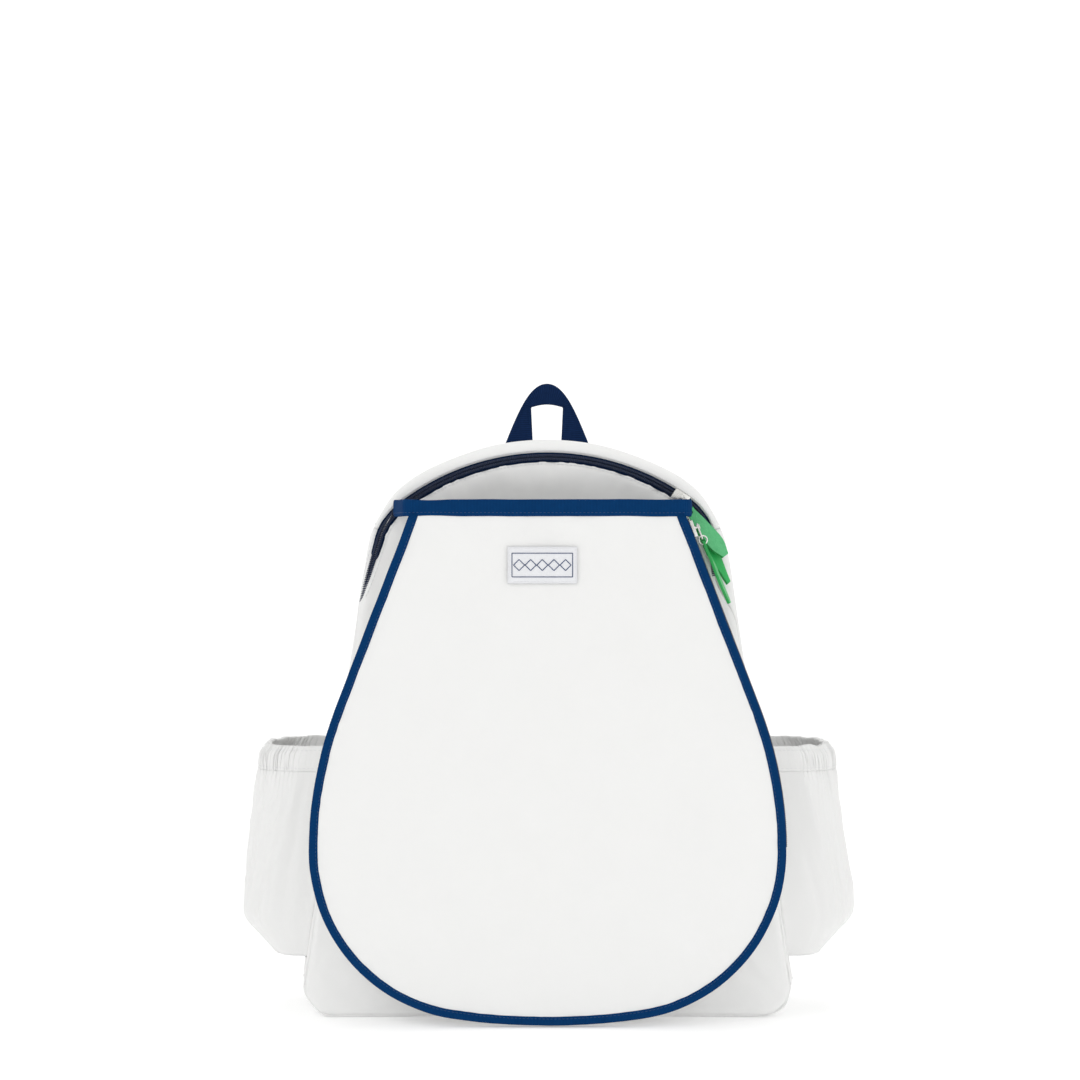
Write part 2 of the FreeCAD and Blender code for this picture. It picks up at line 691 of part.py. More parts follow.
def mouth_binding():
    """Folded tape over the top edge of the racket pocket."""
    body = new_body("racket_pocket_binding")
    sketch = new_sketch(body, "binding_sketch", "XZ_Plane",
                        "pocket_front - pocket_panel - pocket_foam")
    polygon(sketch, (
        ("0 - binding_left", "pocket_top"), ("binding_right", "pocket_top"),
        ("binding_right", "pocket_top + binding_tall"),
        ("0 - binding_left", "pocket_top + binding_tall")))
    solid = pad(body, sketch, "pocket_panel + pocket_foam + piping_proud")
    round_edges(body, solid, "piping_proud", lies_at("z", mm("pocket_top") + mm("binding_tall")))
    return [body]


def label_patch():
    """Woven label sewn on the panel below the mouth."""
    body = new_body("label_patch")
    sketch = new_sketch(body, "label_sketch", "XZ_Plane", "pocket_front")
    half_wide = mm("label_wide") / 2
    half_tall = mm("label_tall") / 2
    left = f"0 - label_shift - {half_wide:g}"
    right = f"{half_wide:g} - label_shift"
    low = f"label_height - {half_tall:g}"
    high = f"label_height + {half_tall:g}"
    polygon(sketch, ((left, low), (right, low), (right, high), (left, high)))
    pad(body, sketch, "label_thick")
    return [body]


# ---------------------------------------------------------------- side pockets


def side_form(name, inset):
    """A bulging pocket form on the right: wide low down, narrower at its mouth."""
    body = new_body(name)
    half = mm("side_deep") / 2
    gap = number(inset)
    sketch = new_sketch(body, name + "_sketch", "XZ_Plane",
                        f"{inset} - side_middle - {half:g}")
    foot_radius = mm("side_foot_round")
    swell_radius = mm("side_swell")
    reach = mm("side_belly_half")
    belly_up = mm("side_bottom") + foot_radius
    rise = math.asin((mm("side_top") - belly_up) / (swell_radius - gap))
    low = mm("side_bottom") + gap
    mouth = reach - swell_radius + (swell_radius - gap) * math.cos(rise)
    root = mm("side_root")
    top = mm("side_top")
    base = add_line(sketch, (root, low, 0), (reach - foot_radius, low, 0))
    foot = add_arc(sketch, (reach - foot_radius, belly_up, 0), foot_radius - gap,
                   -math.pi / 2, 0)
    swell = add_arc(sketch, (reach - swell_radius, belly_up, 0), swell_radius - gap, 0, rise)
    lid = add_line(sketch, (mouth, top, 0), (root, top, 0))
    inner = add_line(sketch, (root, top, 0), (root, low, 0))
    join(sketch, [(base, 2), (foot, 1), (foot, 2), (swell, 1), (swell, 2), (lid, 1),
                  (lid, 2), (inner, 1), (inner, 2), (base, 1)],
         [True, True, False, False, False])
    for line, kind in ((base, "Horizontal"), (lid, "Horizontal"), (inner, "Vertical")):
        sketch.addConstraint(Sketcher.Constraint(kind, line))
    sketch.addConstraint(Sketcher.Constraint("Horizontal", foot, 3, swell, 3))
    bind(sketch, "Radius", foot, size=less("side_foot_round", inset))
    bind(sketch, "Radius", swell, size=less("side_swell", inset))
    place_point(sketch, foot, 3, ("side_belly_half - side_foot_round",
                                  "side_bottom + side_foot_round"))
    place_point(sketch, lid, 2, ("side_root", "side_top"))
    solid = pad(body, sketch, less("side_deep", f"{inset} + {inset}"))
    near = mm("side_middle") - half + gap
    far = mm("side_middle") + half - gap

    def outer(edge):
        level = lies_at("y", near)(edge) or lies_at("y", far)(edge)
        return level and edge.CenterOfMass.x > root and edge.CenterOfMass.z < top - gap

    round_edges(body, solid, less("side_round", inset), outer)
    return body


def side_pockets(form):
    """Bottle pockets with a gathered elastic mouth, one on each side."""
    outside = side_form("side_outside", "0")
    inside = side_form("side_inside", "side_wall")
    hollow = combine("Cut", "side_open", outside, inside)
    shell = combine("Cut", "side_shell", hollow, form)
    seam = "side_top - elastic_tall"
    wide = f"side_belly_half + {OVER}"
    deep = "side_deep + side_deep"
    low = block("side_low_zone", ("0", "0 - side_deep", "0"), (wide, deep, seam))
    high = block("side_high_zone", ("0", "0 - side_deep", seam), (wide, deep, "elastic_tall"))
    right = [combine("Common", "side_pocket_right", shell, low),
             combine("Common", "side_elastic_right", shell, high)]
    left = [mirrored("side_pocket_left", right[0]), mirrored("side_elastic_left", right[1])]
    return right + left


# --------------------------------------------------------- handle, yoke, straps


def grab_handle():
    """Webbing loop standing up from the yoke at the top of the back."""
    body = new_body("grab_handle")
    sketch = new_sketch(body, "handle_sketch", "XZ_Plane", "0 - body_back - webbing_thick")
    outer_low = "handle_base_half"
    outer_high = "handle_top_half"
    corners = ((outer_low, "handle_base"), (outer_high, "handle_height"),
               (less("0", outer_high), "handle_height"), (less("0", outer_low), "handle_base"),
               ("0 - handle_gap_half", "handle_base"), ("0 - handle_gap_half", "handle_gap_top"),
               ("handle_gap_half", "handle_gap_top"), ("handle_gap_half", "handle_base"))
    polygon(sketch, corners)
    solid = pad(body, sketch, "webbing_thick")

    def outer_corner(edge):
        return edge.CenterOfMass.z > mm("handle_height") - 1 and edge.BoundBox.YLength > 1 and (
            edge.BoundBox.XLength < 1)

    rounded = round_edges(body, solid, "handle_round", outer_corner)

    def gap_corner(edge):
        return abs(edge.CenterOfMass.z - mm("handle_gap_top")) < 1e-3 and (
            edge.BoundBox.YLength > 1 and edge.BoundBox.XLength < 1)

    round_edges(body, rounded, "webbing_thick", gap_corner)
    return [body]


def strap_yoke():
    """Reinforced fabric that the handle and both straps are sewn under."""
    body = new_body("strap_yoke")
    sketch = new_sketch(body, "yoke_sketch", "XZ_Plane", "0 - body_back - yoke_thick")
    high = "handle_base - webbing_thick"
    polygon(sketch, (("0 - yoke_half", "yoke_low"), ("yoke_half", "yoke_low"),
                     ("yoke_half", f"{high} - yoke_corner"),
                     ("yoke_half - yoke_corner", high), ("yoke_corner - yoke_half", high),
                     ("0 - yoke_half", f"{high} - yoke_corner")))
    pad(body, sketch, "yoke_thick")
    return [body]


def shoulder_strap():
    """Padded strap: bowed sideways, and bowed away from the back."""
    top = "yoke_low - 1"
    plan = new_body("strap_plan")
    sketch = new_sketch(plan, "strap_plan_sketch", "XZ_Plane", f"0 - strap_reach - {OVER}")
    bow(sketch, ("strap_end_out", "strap_low"), ("strap_top_out", top), "strap_bow", -1)
    edge_line(sketch, ("strap_top_out", top), ("strap_top_in", top))
    bow(sketch, ("strap_top_in", top), ("strap_end_in", "strap_low"), "strap_bow", 1)
    edge_line(sketch, ("strap_end_in", "strap_low"), ("strap_end_out", "strap_low"))
    pad(plan, sketch, f"{OVER} + {OVER}")
    side = new_body("strap_side")
    sketch = new_sketch(side, "strap_side_sketch", "YZ_Plane", "0")
    face = "body_back + strap_thick + strap_gap"
    low = ("strap_end_reach", "strap_low")
    high = (face, top)
    inner_low = ("strap_end_reach - strap_thick", "strap_low")
    inner_high = ("body_back + strap_gap", top)
    bow(sketch, low, high, "strap_arch", -1)
    edge_line(sketch, high, inner_high)
    bow(sketch, inner_high, inner_low, "strap_arch", 1)
    edge_line(sketch, inner_low, low)
    pad(side, sketch, f"strap_end_out + {OVER}")
    right = combine("Common", "shoulder_strap_right", plan, side)
    return [right, mirrored("shoulder_strap_left", right)]


def buckle_place():
    """Middle of the right ladder lock across the bag, its lowest edge, and one bar."""
    middle = (mm("strap_end_in") + mm("strap_end_out")) / 2
    low = mm("strap_low") - mm("buckle_drop") - mm("buckle_tall")
    bar = (mm("buckle_tall") - 2 * mm("buckle_slot")) / 3
    return middle, low, bar


def upright(middle, half, low, high):
    """The corners of a rectangle about a middle line."""
    left = f"{middle - half:g}"
    right = f"{middle + half:g}"
    return ((left, low), (right, low), (right, high), (left, high))


def ladder_lock():
    """Moulded three-bar buckle at the end of the padded strap."""
    middle, low, bar = buckle_place()
    body = new_body("ladder_lock_right")
    front = "strap_end_reach - strap_thick + buckle_set + buckle_thick"
    sketch = new_sketch(body, "lock_sketch", "XZ_Plane", less("0", front))
    half = mm("buckle_wide") / 2
    polygon(sketch, upright(middle, half, f"{low:g}", f"{low:g} + buckle_tall"))
    for start in (low + bar, low + 2 * bar + mm("buckle_slot")):
        polygon(sketch, upright(middle, half - mm("buckle_rail"), f"{start:g}",
                                f"{start:g} + buckle_slot"))
    pad(body, sketch, "buckle_thick")
    return [body, mirrored("ladder_lock_left", body)]


def buckle_loop():
    """Short webbing loop that ties the ladder lock's top bar to the padded strap."""
    middle, low, bar = buckle_place()
    body = new_body("buckle_loop_right")
    across = new_sketch(body, "loop_sketch", "YZ_Plane", f"{middle - mm('webbing_wide') / 2:g}")
    play = mm("loop_play")
    near = mm("strap_end_reach") - mm("strap_thick") + mm("buckle_set") - play
    far = near + mm("buckle_thick") + 2 * play
    thick = mm("strap_webbing")
    top = mm("strap_low")
    bottom = low + mm("buckle_tall") - bar - play
    points = ((near - thick, top), (near - thick, bottom - thick),
              (far + thick, bottom - thick), (far + thick, top),
              (far, top), (far, bottom), (near, bottom), (near, top))
    polygon(across, [(f"{y:g}", f"{z:g}") for y, z in points])
    pad(body, across, "webbing_wide")
    return [body, mirrored("buckle_loop_left", body)]


def lower_webbing():
    """Strap webbing from the ladder lock down to its anchor, and its loose tail."""
    middle, low, _ = buckle_place()
    half = mm("webbing_wide") / 2
    top = f"{low:g} - webbing_drop"
    webbing = new_body("strap_webbing_right")
    face = "0 - body_back - yoke_thick - sewn_gap - strap_webbing"
    sketch = new_sketch(webbing, "webbing_sketch", "XZ_Plane", face)
    seam = "anchor_low + anchor_tall - anchor_lap"
    polygon(sketch, ((f"{middle - half:g}", top), (f"anchor_x - {half:g}", seam),
                     (f"anchor_x + {half:g}", f"{seam} + webbing_skew"),
                     (f"{middle + half:g}", top)))
    pad(webbing, sketch, "strap_webbing")
    tail = new_body("strap_tail_right")
    sketch = new_sketch(tail, "tail_sketch", "XZ_Plane", f"{face} - tail_gap - strap_webbing")
    polygon(sketch, upright(middle, half, f"{top} - tail_long", top))
    pad(tail, sketch, "strap_webbing")
    return [webbing, tail, mirrored("strap_webbing_left", webbing),
            mirrored("strap_tail_left", tail)]


def strap_anchor():
    """Fabric wing in the side seam that the lower webbing is sewn to."""
    body = new_body("strap_anchor_right")
    sketch = new_sketch(body, "anchor_sketch", "XZ_Plane", "0 - body_back - yoke_thick")
    high = "anchor_low + anchor_tall"
    polygon(sketch, (("anchor_x - anchor_half", "anchor_low + anchor_slope"),
                     ("anchor_x + anchor_half", "anchor_low"),
                     ("anchor_x + anchor_half + anchor_lean", high),
                     ("anchor_x - anchor_half + anchor_lean", high)))
    pad(body, sketch, "yoke_thick")
    return [body, mirrored("strap_anchor_left", body)]


# ------------------------------------------------------------ sliders and pulls


def main_track():
    """Placement of the main slider: X along the zip, Z out of the front face."""
    angle = math.radians(mm("slider_angle"))
    radius = mm("top_radius") - mm("zip_start") - mm("zip_width") / 2
    centre = Vector(0, -mm("body_front"), mm("body_height") - mm("top_radius"))
    outwards = Vector(math.sin(angle), 0, math.cos(angle))
    along = Vector(math.cos(angle), 0, -math.sin(angle))
    turn = Rotation(along, outwards, Vector(0, -1, 0), "ZXY")
    return Placement(centre + outwards * radius, turn)


def pocket_track():
    """Placement of the pocket's slider: X down the zip, Z out of the pocket's side."""
    lean = math.radians(mm("pocket_lean"))
    across = mm("pocket_half") - mm("pocket_corner")
    up = mm("pocket_bottom") + mm("pocket_belly") - math.sqrt(
        (mm("pocket_belly") - mm("pocket_corner")) ** 2 - across ** 2)
    normal = Vector(math.cos(lean), 0, math.sin(lean))
    side_centre = Vector(mm("pocket_half") - mm("pocket_side"), 0, up)
    bend = side_centre + normal * mm("pocket_side")
    along = Vector(math.sin(lean), 0, -math.cos(lean))
    height = mm("pocket_top") - mm("slider_drop")
    place = bend - along * ((height - bend.z) / math.cos(lean))
    behind = mm("pocket_front") - mm("pocket_panel") - mm("pocket_foam")
    place.y = mm("zip_width") / 2 - behind
    return Placement(place, Rotation(along, Vector(0, 1, 0), normal, "ZXY"))


def rectangle(sketch, half_long, half_wide, shift="0"):
    """A rectangle about the sketch's origin, moved across by a shift."""
    polygon(sketch, ((less("0", half_long), less(shift, half_wide)),
                     (half_long, less(shift, half_wide)),
                     (half_long, f"{shift} + {half_wide}"),
                     (less("0", half_long), f"{shift} + {half_wide}")))


def slider(name, place):
    """Slider: two plates joined by a neck, turned-down lips, and a headed stud."""
    body = new_body(name)
    half_long = f"{mm('slider_long') / 2:g}"
    half_wide = f"{mm('slider_wide') / 2:g}"
    lip_middle = f"{mm('slider_wide') / 2 - mm('slider_lip') / 2:g}"
    lip_half = f"{mm('slider_lip') / 2:g}"
    deck = "coil_tall + slider_play"
    plates = (
        ("deck", half_long, half_wide, "0", deck, "slider_plate"),
        ("neck", f"{mm('neck_long') / 2:g}", f"{mm('neck_wide') / 2:g}", "0",
         "0 - tape_thick - slider_play", f"{deck} + tape_thick + slider_play"),
        ("sole", half_long, half_wide, "0",
         "0 - tape_thick - slider_play - slider_plate", "slider_plate"),
        ("near_lip", half_long, lip_half, less("0", lip_middle), "slider_play", "coil_tall"),
        ("far_lip", half_long, lip_half, lip_middle, "slider_play", "coil_tall"),
    )
    for part, long_half, wide_half, shift, low, tall in plates:
        sketch = new_sketch(body, f"{name}_{part}", "XY_Plane", low)
        rectangle(sketch, long_half, wide_half, shift)
        pad(body, sketch, tall)
    studs = (
        ("stud", "stud_size", f"{deck} + slider_plate", less("stud_top", f"{deck} + slider_plate")),
        ("cap", "cap_size", "stud_top", "stud_cap"),
    )
    for part, radius, low, tall in studs:
        sketch = new_sketch(body, f"{name}_{part}", "XY_Plane", low)
        circle_at(sketch, "0", "0", radius)
        pad(body, sketch, tall)
    body.Placement = place
    return body


def slot_outline(sketch, long, half):
    """Two half circles joined by straight sides, from the origin along X."""
    size = number(half)
    end = number(long)
    far = add_arc(sketch, (end, 0, 0), size, -math.pi / 2, math.pi / 2)
    near = add_arc(sketch, (0, 0, 0), size, math.pi / 2, math.pi * 1.5)
    high = add_line(sketch, (end, size, 0), (0, size, 0))
    low = add_line(sketch, (0, -size, 0), (end, -size, 0))
    join(sketch, [(far, 2), (high, 1), (high, 2), (near, 1), (near, 2), (low, 1),
                  (low, 2), (far, 1)], [True] * 4)
    bind(sketch, "Radius", far, size=half)
    place_point(sketch, near, 3, ("0", "0"))
    place_point(sketch, far, 3, (long, "0"))


def pull_link(name, place):
    """Flat link: one eye turns on the slider's stud, the other holds the ring."""
    body = new_body(name)
    half_thick = f"{mm('link_thick') / 2:g}"
    sketch = new_sketch(body, name + "_sketch", "XY_Plane", f"link_height - {half_thick}")
    slot_outline(sketch, "link_long", "link_half")
    circle_at(sketch, "0", "0", "stud_size + stud_play")
    circle_at(sketch, "link_long", "0", "link_eye")
    pad(body, sketch, "link_thick")
    body.Placement = place
    return body


def pull_ring(name, place):
    """Round wire ring through the link and the leather."""
    ring = doc.addObject("Part::Torus", name)
    ring.setExpression("Radius1", cell("ring_radius"))
    ring.setExpression("Radius2", cell("ring_wire"))
    centre = Vector(mm("link_long") + mm("ring_radius"), 0, mm("link_height"))
    ring.Placement = place * Placement(centre, Rotation(Vector(1, 0, 0), 90))
    return ring


def pull_leaf(name, place, long, low):
    """Leather leaf: a narrow neck with an eye, a broad middle and a blunt tip."""
    body = new_body(name)
    sketch = new_sketch(body, name + "_sketch", "XY_Plane", low)
    eye = "link_long + ring_radius + ring_radius"
    start = f"{eye} - leaf_end"
    broad = f"{eye} + leaf_widest"
    tip = f"{eye} + {long} - leaf_end"
    polygon(sketch, ((start, "0 - leaf_neck"), (broad, "0 - leaf_half"),
                     (tip, "0 - leaf_tip"), (tip, "leaf_tip"),
                     (broad, "leaf_half"), (start, "leaf_neck")))
    circle_at(sketch, eye, "0", "leaf_eye")
    solid = pad(body, sketch, "leaf_thick")

    def broad_corner(edge):
        return edge.BoundBox.ZLength > 1 and abs(edge.CenterOfMass.x - number(broad)) < 1e-3

    round_edges(body, solid, "leaf_half + leaf_half", broad_corner)
    body.Placement = place
    return body


def pulls():
    """Both sliders, each with its link, ring and leather."""
    main = main_track()
    main_hang = main * Placement(Vector(0, 0, 0), Rotation(Vector(0, 0, 1), mm("main_hang")))
    pocket = pocket_track()
    back_low = "link_height - leaf_thick - leaf_play"
    half_leaf = f"{mm('leaf_thick') / 2:g}"
    return [
        slider("main_slider", main),
        pull_link("main_pull_link", main_hang),
        pull_ring("main_pull_ring", main_hang),
        pull_leaf("main_pull_front_leaf", main_hang, "main_leaf", "link_height + leaf_play"),
        pull_leaf("main_pull_back_leaf", main_hang, "main_back_leaf", back_low),
        slider("pocket_slider", pocket),
        pull_link("pocket_pull_link", pocket),
        pull_ring("pocket_pull_ring", pocket),
        pull_leaf("pocket_pull_leaf", pocket, "pocket_leaf", f"link_height - {half_leaf}"),
    ]


# ---------------------------------------------------------------- the whole bag


def build():
    """Every separate piece of the bag, in the order in which it would be sewn."""
    form, walls = main_forms()
    span = zip_span()
    pieces = main_compartment(walls, span)
    pieces += base_board()
    pieces += back_layers()
    pieces += main_zip(span)
    pieces += racket_pocket_panel()
    pieces += racket_pocket_gusset()
    pieces += pocket_zip()
    pieces += mouth_binding()
    pieces += label_patch()
    pieces += side_pockets(form)
    pieces += strap_yoke()
    pieces += grab_handle()
    pieces += shoulder_strap()
    pieces += buckle_loop()
    pieces += ladder_lock()
    pieces += lower_webbing()
    pieces += strap_anchor()
    pieces += pulls()
    return pieces


def check(pieces):
    """Stop if any object failed or any piece has no sound solid."""
    failed = [item.Label for item in doc.Objects
              if "Invalid" in item.State or "Error" in item.State]
    for piece in pieces:
        if piece.Shape.isNull() or not piece.Shape.isValid() or not piece.Shape.Solids:
            failed.append(piece.Label)
    if failed:
        raise RuntimeError("failed: " + ", ".join(failed))


parts = build()
doc.recompute()
check(parts)
os.makedirs("parts", exist_ok=True)
for part in parts:
    part.Shape.exportStep(f"parts/{part.Label}.step")
print(len(parts), "pieces written")
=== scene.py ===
import math
from contextlib import contextmanager

import bmesh
import bpy
import numpy as np
from mathutils import Matrix, Vector, noise


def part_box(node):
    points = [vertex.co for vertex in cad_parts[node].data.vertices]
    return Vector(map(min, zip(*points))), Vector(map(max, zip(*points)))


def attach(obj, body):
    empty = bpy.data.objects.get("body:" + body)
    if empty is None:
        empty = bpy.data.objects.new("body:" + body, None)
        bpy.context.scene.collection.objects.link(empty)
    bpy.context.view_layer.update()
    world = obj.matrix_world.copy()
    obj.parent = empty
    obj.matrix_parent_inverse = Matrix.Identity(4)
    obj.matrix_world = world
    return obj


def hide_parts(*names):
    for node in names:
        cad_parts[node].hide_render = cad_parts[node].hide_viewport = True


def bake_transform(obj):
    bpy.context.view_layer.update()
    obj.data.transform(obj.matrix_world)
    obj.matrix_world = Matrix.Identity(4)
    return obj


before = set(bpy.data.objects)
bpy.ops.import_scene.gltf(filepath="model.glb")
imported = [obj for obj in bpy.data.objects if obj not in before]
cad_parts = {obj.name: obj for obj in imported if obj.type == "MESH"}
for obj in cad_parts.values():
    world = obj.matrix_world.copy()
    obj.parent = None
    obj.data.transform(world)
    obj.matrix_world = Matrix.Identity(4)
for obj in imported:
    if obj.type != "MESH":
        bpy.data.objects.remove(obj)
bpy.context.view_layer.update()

# The looks of a racket backpack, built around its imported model.  Metres throughout.
# +X is to the right of someone facing the racket pocket, -Y is towards them, +Z up.

CASING_NODES = ("base_panel", "top_gusset", "side_gusset_left", "side_gusset_right")
BACK_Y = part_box("back_panel")[1].y
FRONT_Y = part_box("main_front_panel")[0].y
POCKET_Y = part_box("racket_pocket_panel")[0].y
FOAM_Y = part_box("racket_pocket_foam")[1].y
MOUTH_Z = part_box("racket_pocket_binding")[0].z
SEAM_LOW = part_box("base_panel")[1].z
SEAM_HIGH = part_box("top_gusset")[0].z
EDGE_ROUND = 0.008      # rounding of the casing's front edge
ZIP_INSET = 0.0128      # outline to the middle of the main zip
ZIP_OPEN = 0.0036       # half of the chain that shows between the fabric's edges
CLOTH_THICK = 0.0012    # coated canvas
PIPING_WIDE = 0.007
MIDDLE = (0, 0, 0.2)    # a point inside the bag
STITCH_SPOTS = 90       # points on the path of a short row of stitches
COIL_PITCH = 0.00145    # from one turn of a zip's coil to the next
COIL_HALF = 0.00115     # half of a turn's width
COIL_TALL = 0.0013
COIL_OFF = 0.00125      # middle of the chain to the middle of a coil
TAPE_OFF = 0.0024       # and of a tape of the main zip
TAPE_THIN = 0.0004      # half of a tape's thickness
SEAM_GAP = 0.0001       # half of the gap at a sewn seam
SEAM_INSET = 0.0022     # outline to the seam where there is no zip
SAME_SPOT = 1e-6        # points closer than this are one
FORWARDS = (0.0, -1.0, 0.0)
BACKWARDS = (0.0, 1.0, 0.0)
UPWARDS = (0.0, 0.0, 1.0)


# ------------------------------------------------------------- lines and points


def run_along(line):
    """How far along a line each of its points is."""
    return np.concatenate([[0], np.cumsum(np.linalg.norm(np.diff(line, axis=0), axis=1))])


def read_line(at, run, line):
    """Points of a line at given distances along it."""
    return np.stack([np.interp(at, run, column) for column in line.T], axis=-1)


def directions(vectors):
    """Rows of vectors, each one metre long."""
    return vectors / np.linalg.norm(vectors, axis=1)[:, None]


def pairs(first, second):
    """Two grids of values as one grid of pairs."""
    return np.stack(np.broadcast_arrays(first, second), axis=-1)


def stand(flat, y):
    """Points with the X and Z of a flat shape, at a depth."""
    return np.stack([flat[..., 0], np.broadcast_to(y, flat.shape[:-1]), flat[..., 1]], axis=-1)


def facing(direction, line):
    """The same direction for each point of a line."""
    return np.tile(direction, (len(line), 1))


def line_between(start, end, count=14):
    return [(start[0] + (end[0] - start[0]) * t, start[1] + (end[1] - start[1]) * t)
            for t in np.linspace(0, 1, count)]


def line_through(corners, count):
    """Straight lines from corner to corner, with no point twice in a row."""
    spots = []
    for start, end in zip(corners, corners[1:]):
        spots += line_between(start, end, count)
    spots = np.array(spots)
    moved = np.linalg.norm(np.diff(spots, axis=0), axis=1) > SAME_SPOT
    return spots[np.concatenate([[True], moved])]


def bezier(points, count):
    """A smooth curve drawn by a few control points; it starts and ends on the outer two."""
    points = np.array(points, float)
    t = np.linspace(0, 1, count)[:, None]
    order = len(points) - 1
    return sum(math.comb(order, k) * (1 - t) ** (order - k) * t ** k * points[k]
               for k in range(order + 1))


# ------------------------------------------------------------------ outlines


def hull(nodes):
    """Corners of the convex outline of some CAD nodes seen from the front, anticlockwise."""
    spots = sorted({(round(v.co.x, 6), round(v.co.z, 6))
                    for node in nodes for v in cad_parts[node].data.vertices})

    def chain(run):
        kept = []
        for x, z in run:
            while len(kept) > 1:
                (ax, az), (bx, bz) = kept[-2:]
                if (bx - ax) * (z - az) - (bz - az) * (x - ax) > 0:
                    break
                kept.pop()
            kept.append((x, z))
        return kept[:-1]

    return np.array(chain(spots) + chain(spots[::-1]))


class Outline:
    """The line round some CAD nodes, seen from the front.

    A place along it is in metres from the middle of its base: positive up the right
    side, negative up the left."""

    STEP = 0.0005
    BLUR = 6  # steps over which a normal is taken

    def __init__(self, nodes):
        corners = hull(nodes)
        loop = np.vstack([corners, corners[:1]])
        run = run_along(loop)
        self.length = run[-1]
        count = int(self.length / self.STEP)
        even = np.linspace(0, self.length, count, endpoint=False)
        spots = read_line(even, run, loop)
        low = spots[:, 1] < spots[:, 1].mean()
        start = int(np.argmin(np.abs(spots[:, 0]) + np.where(low, 0, 1)))
        self.spots = np.roll(spots, -start, axis=0)
        ahead = np.roll(self.spots, -self.BLUR, axis=0) - np.roll(self.spots, self.BLUR, axis=0)
        self.normals = directions(np.stack([ahead[:, 1], -ahead[:, 0]], axis=1))
        self.run = np.arange(count) * self.length / count
        half = count // 2
        self.rise = np.maximum.accumulate(self.spots[:half, 1])

    def read(self, table, s):
        place = np.mod(s, self.length)
        return np.stack([np.interp(place, self.run, table[:, axis], period=self.length)
                         for axis in (0, 1)], axis=-1)

    def place(self, s, inset=0.0):
        """X and Z of places along the line, moved inwards."""
        return self.read(self.spots, s) - self.read(self.normals, s) * np.expand_dims(inset, -1)

    def climb(self, height):
        """How far up the right side a height is reached."""
        return float(np.interp(height, self.rise, self.run[:len(self.rise)]))

    def half_width(self, z):
        """Half of the width at a height."""
        return np.interp(z, self.rise, self.spots[:len(self.rise), 0])


body = Outline(CASING_NODES)
pocket = Outline(("racket_pocket_piping",))
STRAIGHT = BACK_Y - FRONT_Y - EDGE_ROUND       # casing from its back edge to the rounding
FACE = STRAIGHT + EDGE_ROUND * math.pi / 2     # and to the flat front face


def smooth(t):
    t = np.clip(t, 0, 1)
    return t * t * (3 - 2 * t)


def fold_noise(first, second, size, seed):
    """Smooth noise between -1 and 1 at places on the cloth; size is the width of a fold."""
    first, second = np.broadcast_arrays(first, second)
    spots = zip(first.ravel() / size, second.ravel() / size)
    values = [noise.noise(Vector((a, b, seed))) for a, b in spots]
    return np.array(values).reshape(first.shape)


# ------------------------------------------------------------- building meshes


def new_object(name, data):
    """An object in the scene that shows some data."""
    made = bpy.data.objects.new(name, data)
    bpy.context.scene.collection.objects.link(made)
    return made


def shade_smooth(piece):
    polygons = piece.data.polygons
    polygons.foreach_set("use_smooth", [True] * len(polygons))


@contextmanager
def editing(piece):
    """A piece's mesh, open for changes until the block ends."""
    bm = bmesh.new()
    bm.from_mesh(piece.data)
    yield bm
    bm.to_mesh(piece.data)
    bm.free()


def mesh_piece(name, verts, faces, cloth=None):
    """An object with smooth faces; cloth is each point's place on its flat cloth."""
    mesh = bpy.data.meshes.new(name)
    mesh.from_pydata([tuple(v) for v in verts], [], [tuple(f) for f in faces])
    if cloth is not None:
        flat = np.zeros((len(verts), 3), np.float32)
        flat[:, :2] = cloth
        layer = mesh.attributes.new("cloth", "FLOAT_VECTOR", "POINT")
        layer.data.foreach_set("vector", flat.ravel())
    mesh.update()
    piece = new_object(name, mesh)
    shade_smooth(piece)
    return piece


def grid_faces(rows, columns, round_rows=False, round_columns=False):
    faces = []
    for i in range(rows if round_rows else rows - 1):
        for j in range(columns if round_columns else columns - 1):
            near = (i + 1) % rows
            side = (j + 1) % columns
            faces.append((i * columns + j, near * columns + j, near * columns + side,
                          i * columns + side))
    return faces


def grid_piece(name, points, cloth=None, **loops):
    """A surface through points[row, column]."""
    rows, columns = points.shape[:2]
    flat = None if cloth is None else cloth.reshape(-1, 2)
    return mesh_piece(name, points.reshape(-1, 3), grid_faces(rows, columns, **loops), flat)


def thicken(piece, thickness):
    """Give a surface its cloth's thickness, inwards."""
    solid = piece.modifiers.new("thickness", "SOLIDIFY")
    solid.thickness = thickness
    solid.offset = -1
    solid.use_even_offset = False


def oval(half_wide, half_thick, square=4.0, count=20):
    """A flat oval section: square is 2 for an ellipse and more for fuller corners."""
    turn = np.linspace(0, 2 * math.pi, count, endpoint=False)
    power = 2 / square
    across = half_wide * np.sign(np.cos(turn)) * np.abs(np.cos(turn)) ** power
    out = half_thick * np.sign(np.sin(turn)) * np.abs(np.sin(turn)) ** power
    return np.stack([across, out], axis=1)


def sweep(name, path, across, out, section, closed=False):
    """A section swept along a path, given the section's two directions at each point."""
    section = np.asarray(section)
    if section.ndim == 2:
        section = np.broadcast_to(section, (len(path),) + section.shape)
    rings = (path[:, None, :] + section[:, :, :1] * across[:, None, :]
             + section[:, :, 1:] * out[:, None, :])
    run = run_along(path)
    girth = np.linalg.norm(np.diff(section[0], axis=0, append=section[0][:1]), axis=1)
    around = np.concatenate([[0], np.cumsum(girth)[:-1]])
    cloth = pairs(run[:, None], around[None, :])
    piece = grid_piece(name, rings, cloth, round_rows=closed, round_columns=True)
    if not closed:
        cap_ends(piece)
    return piece


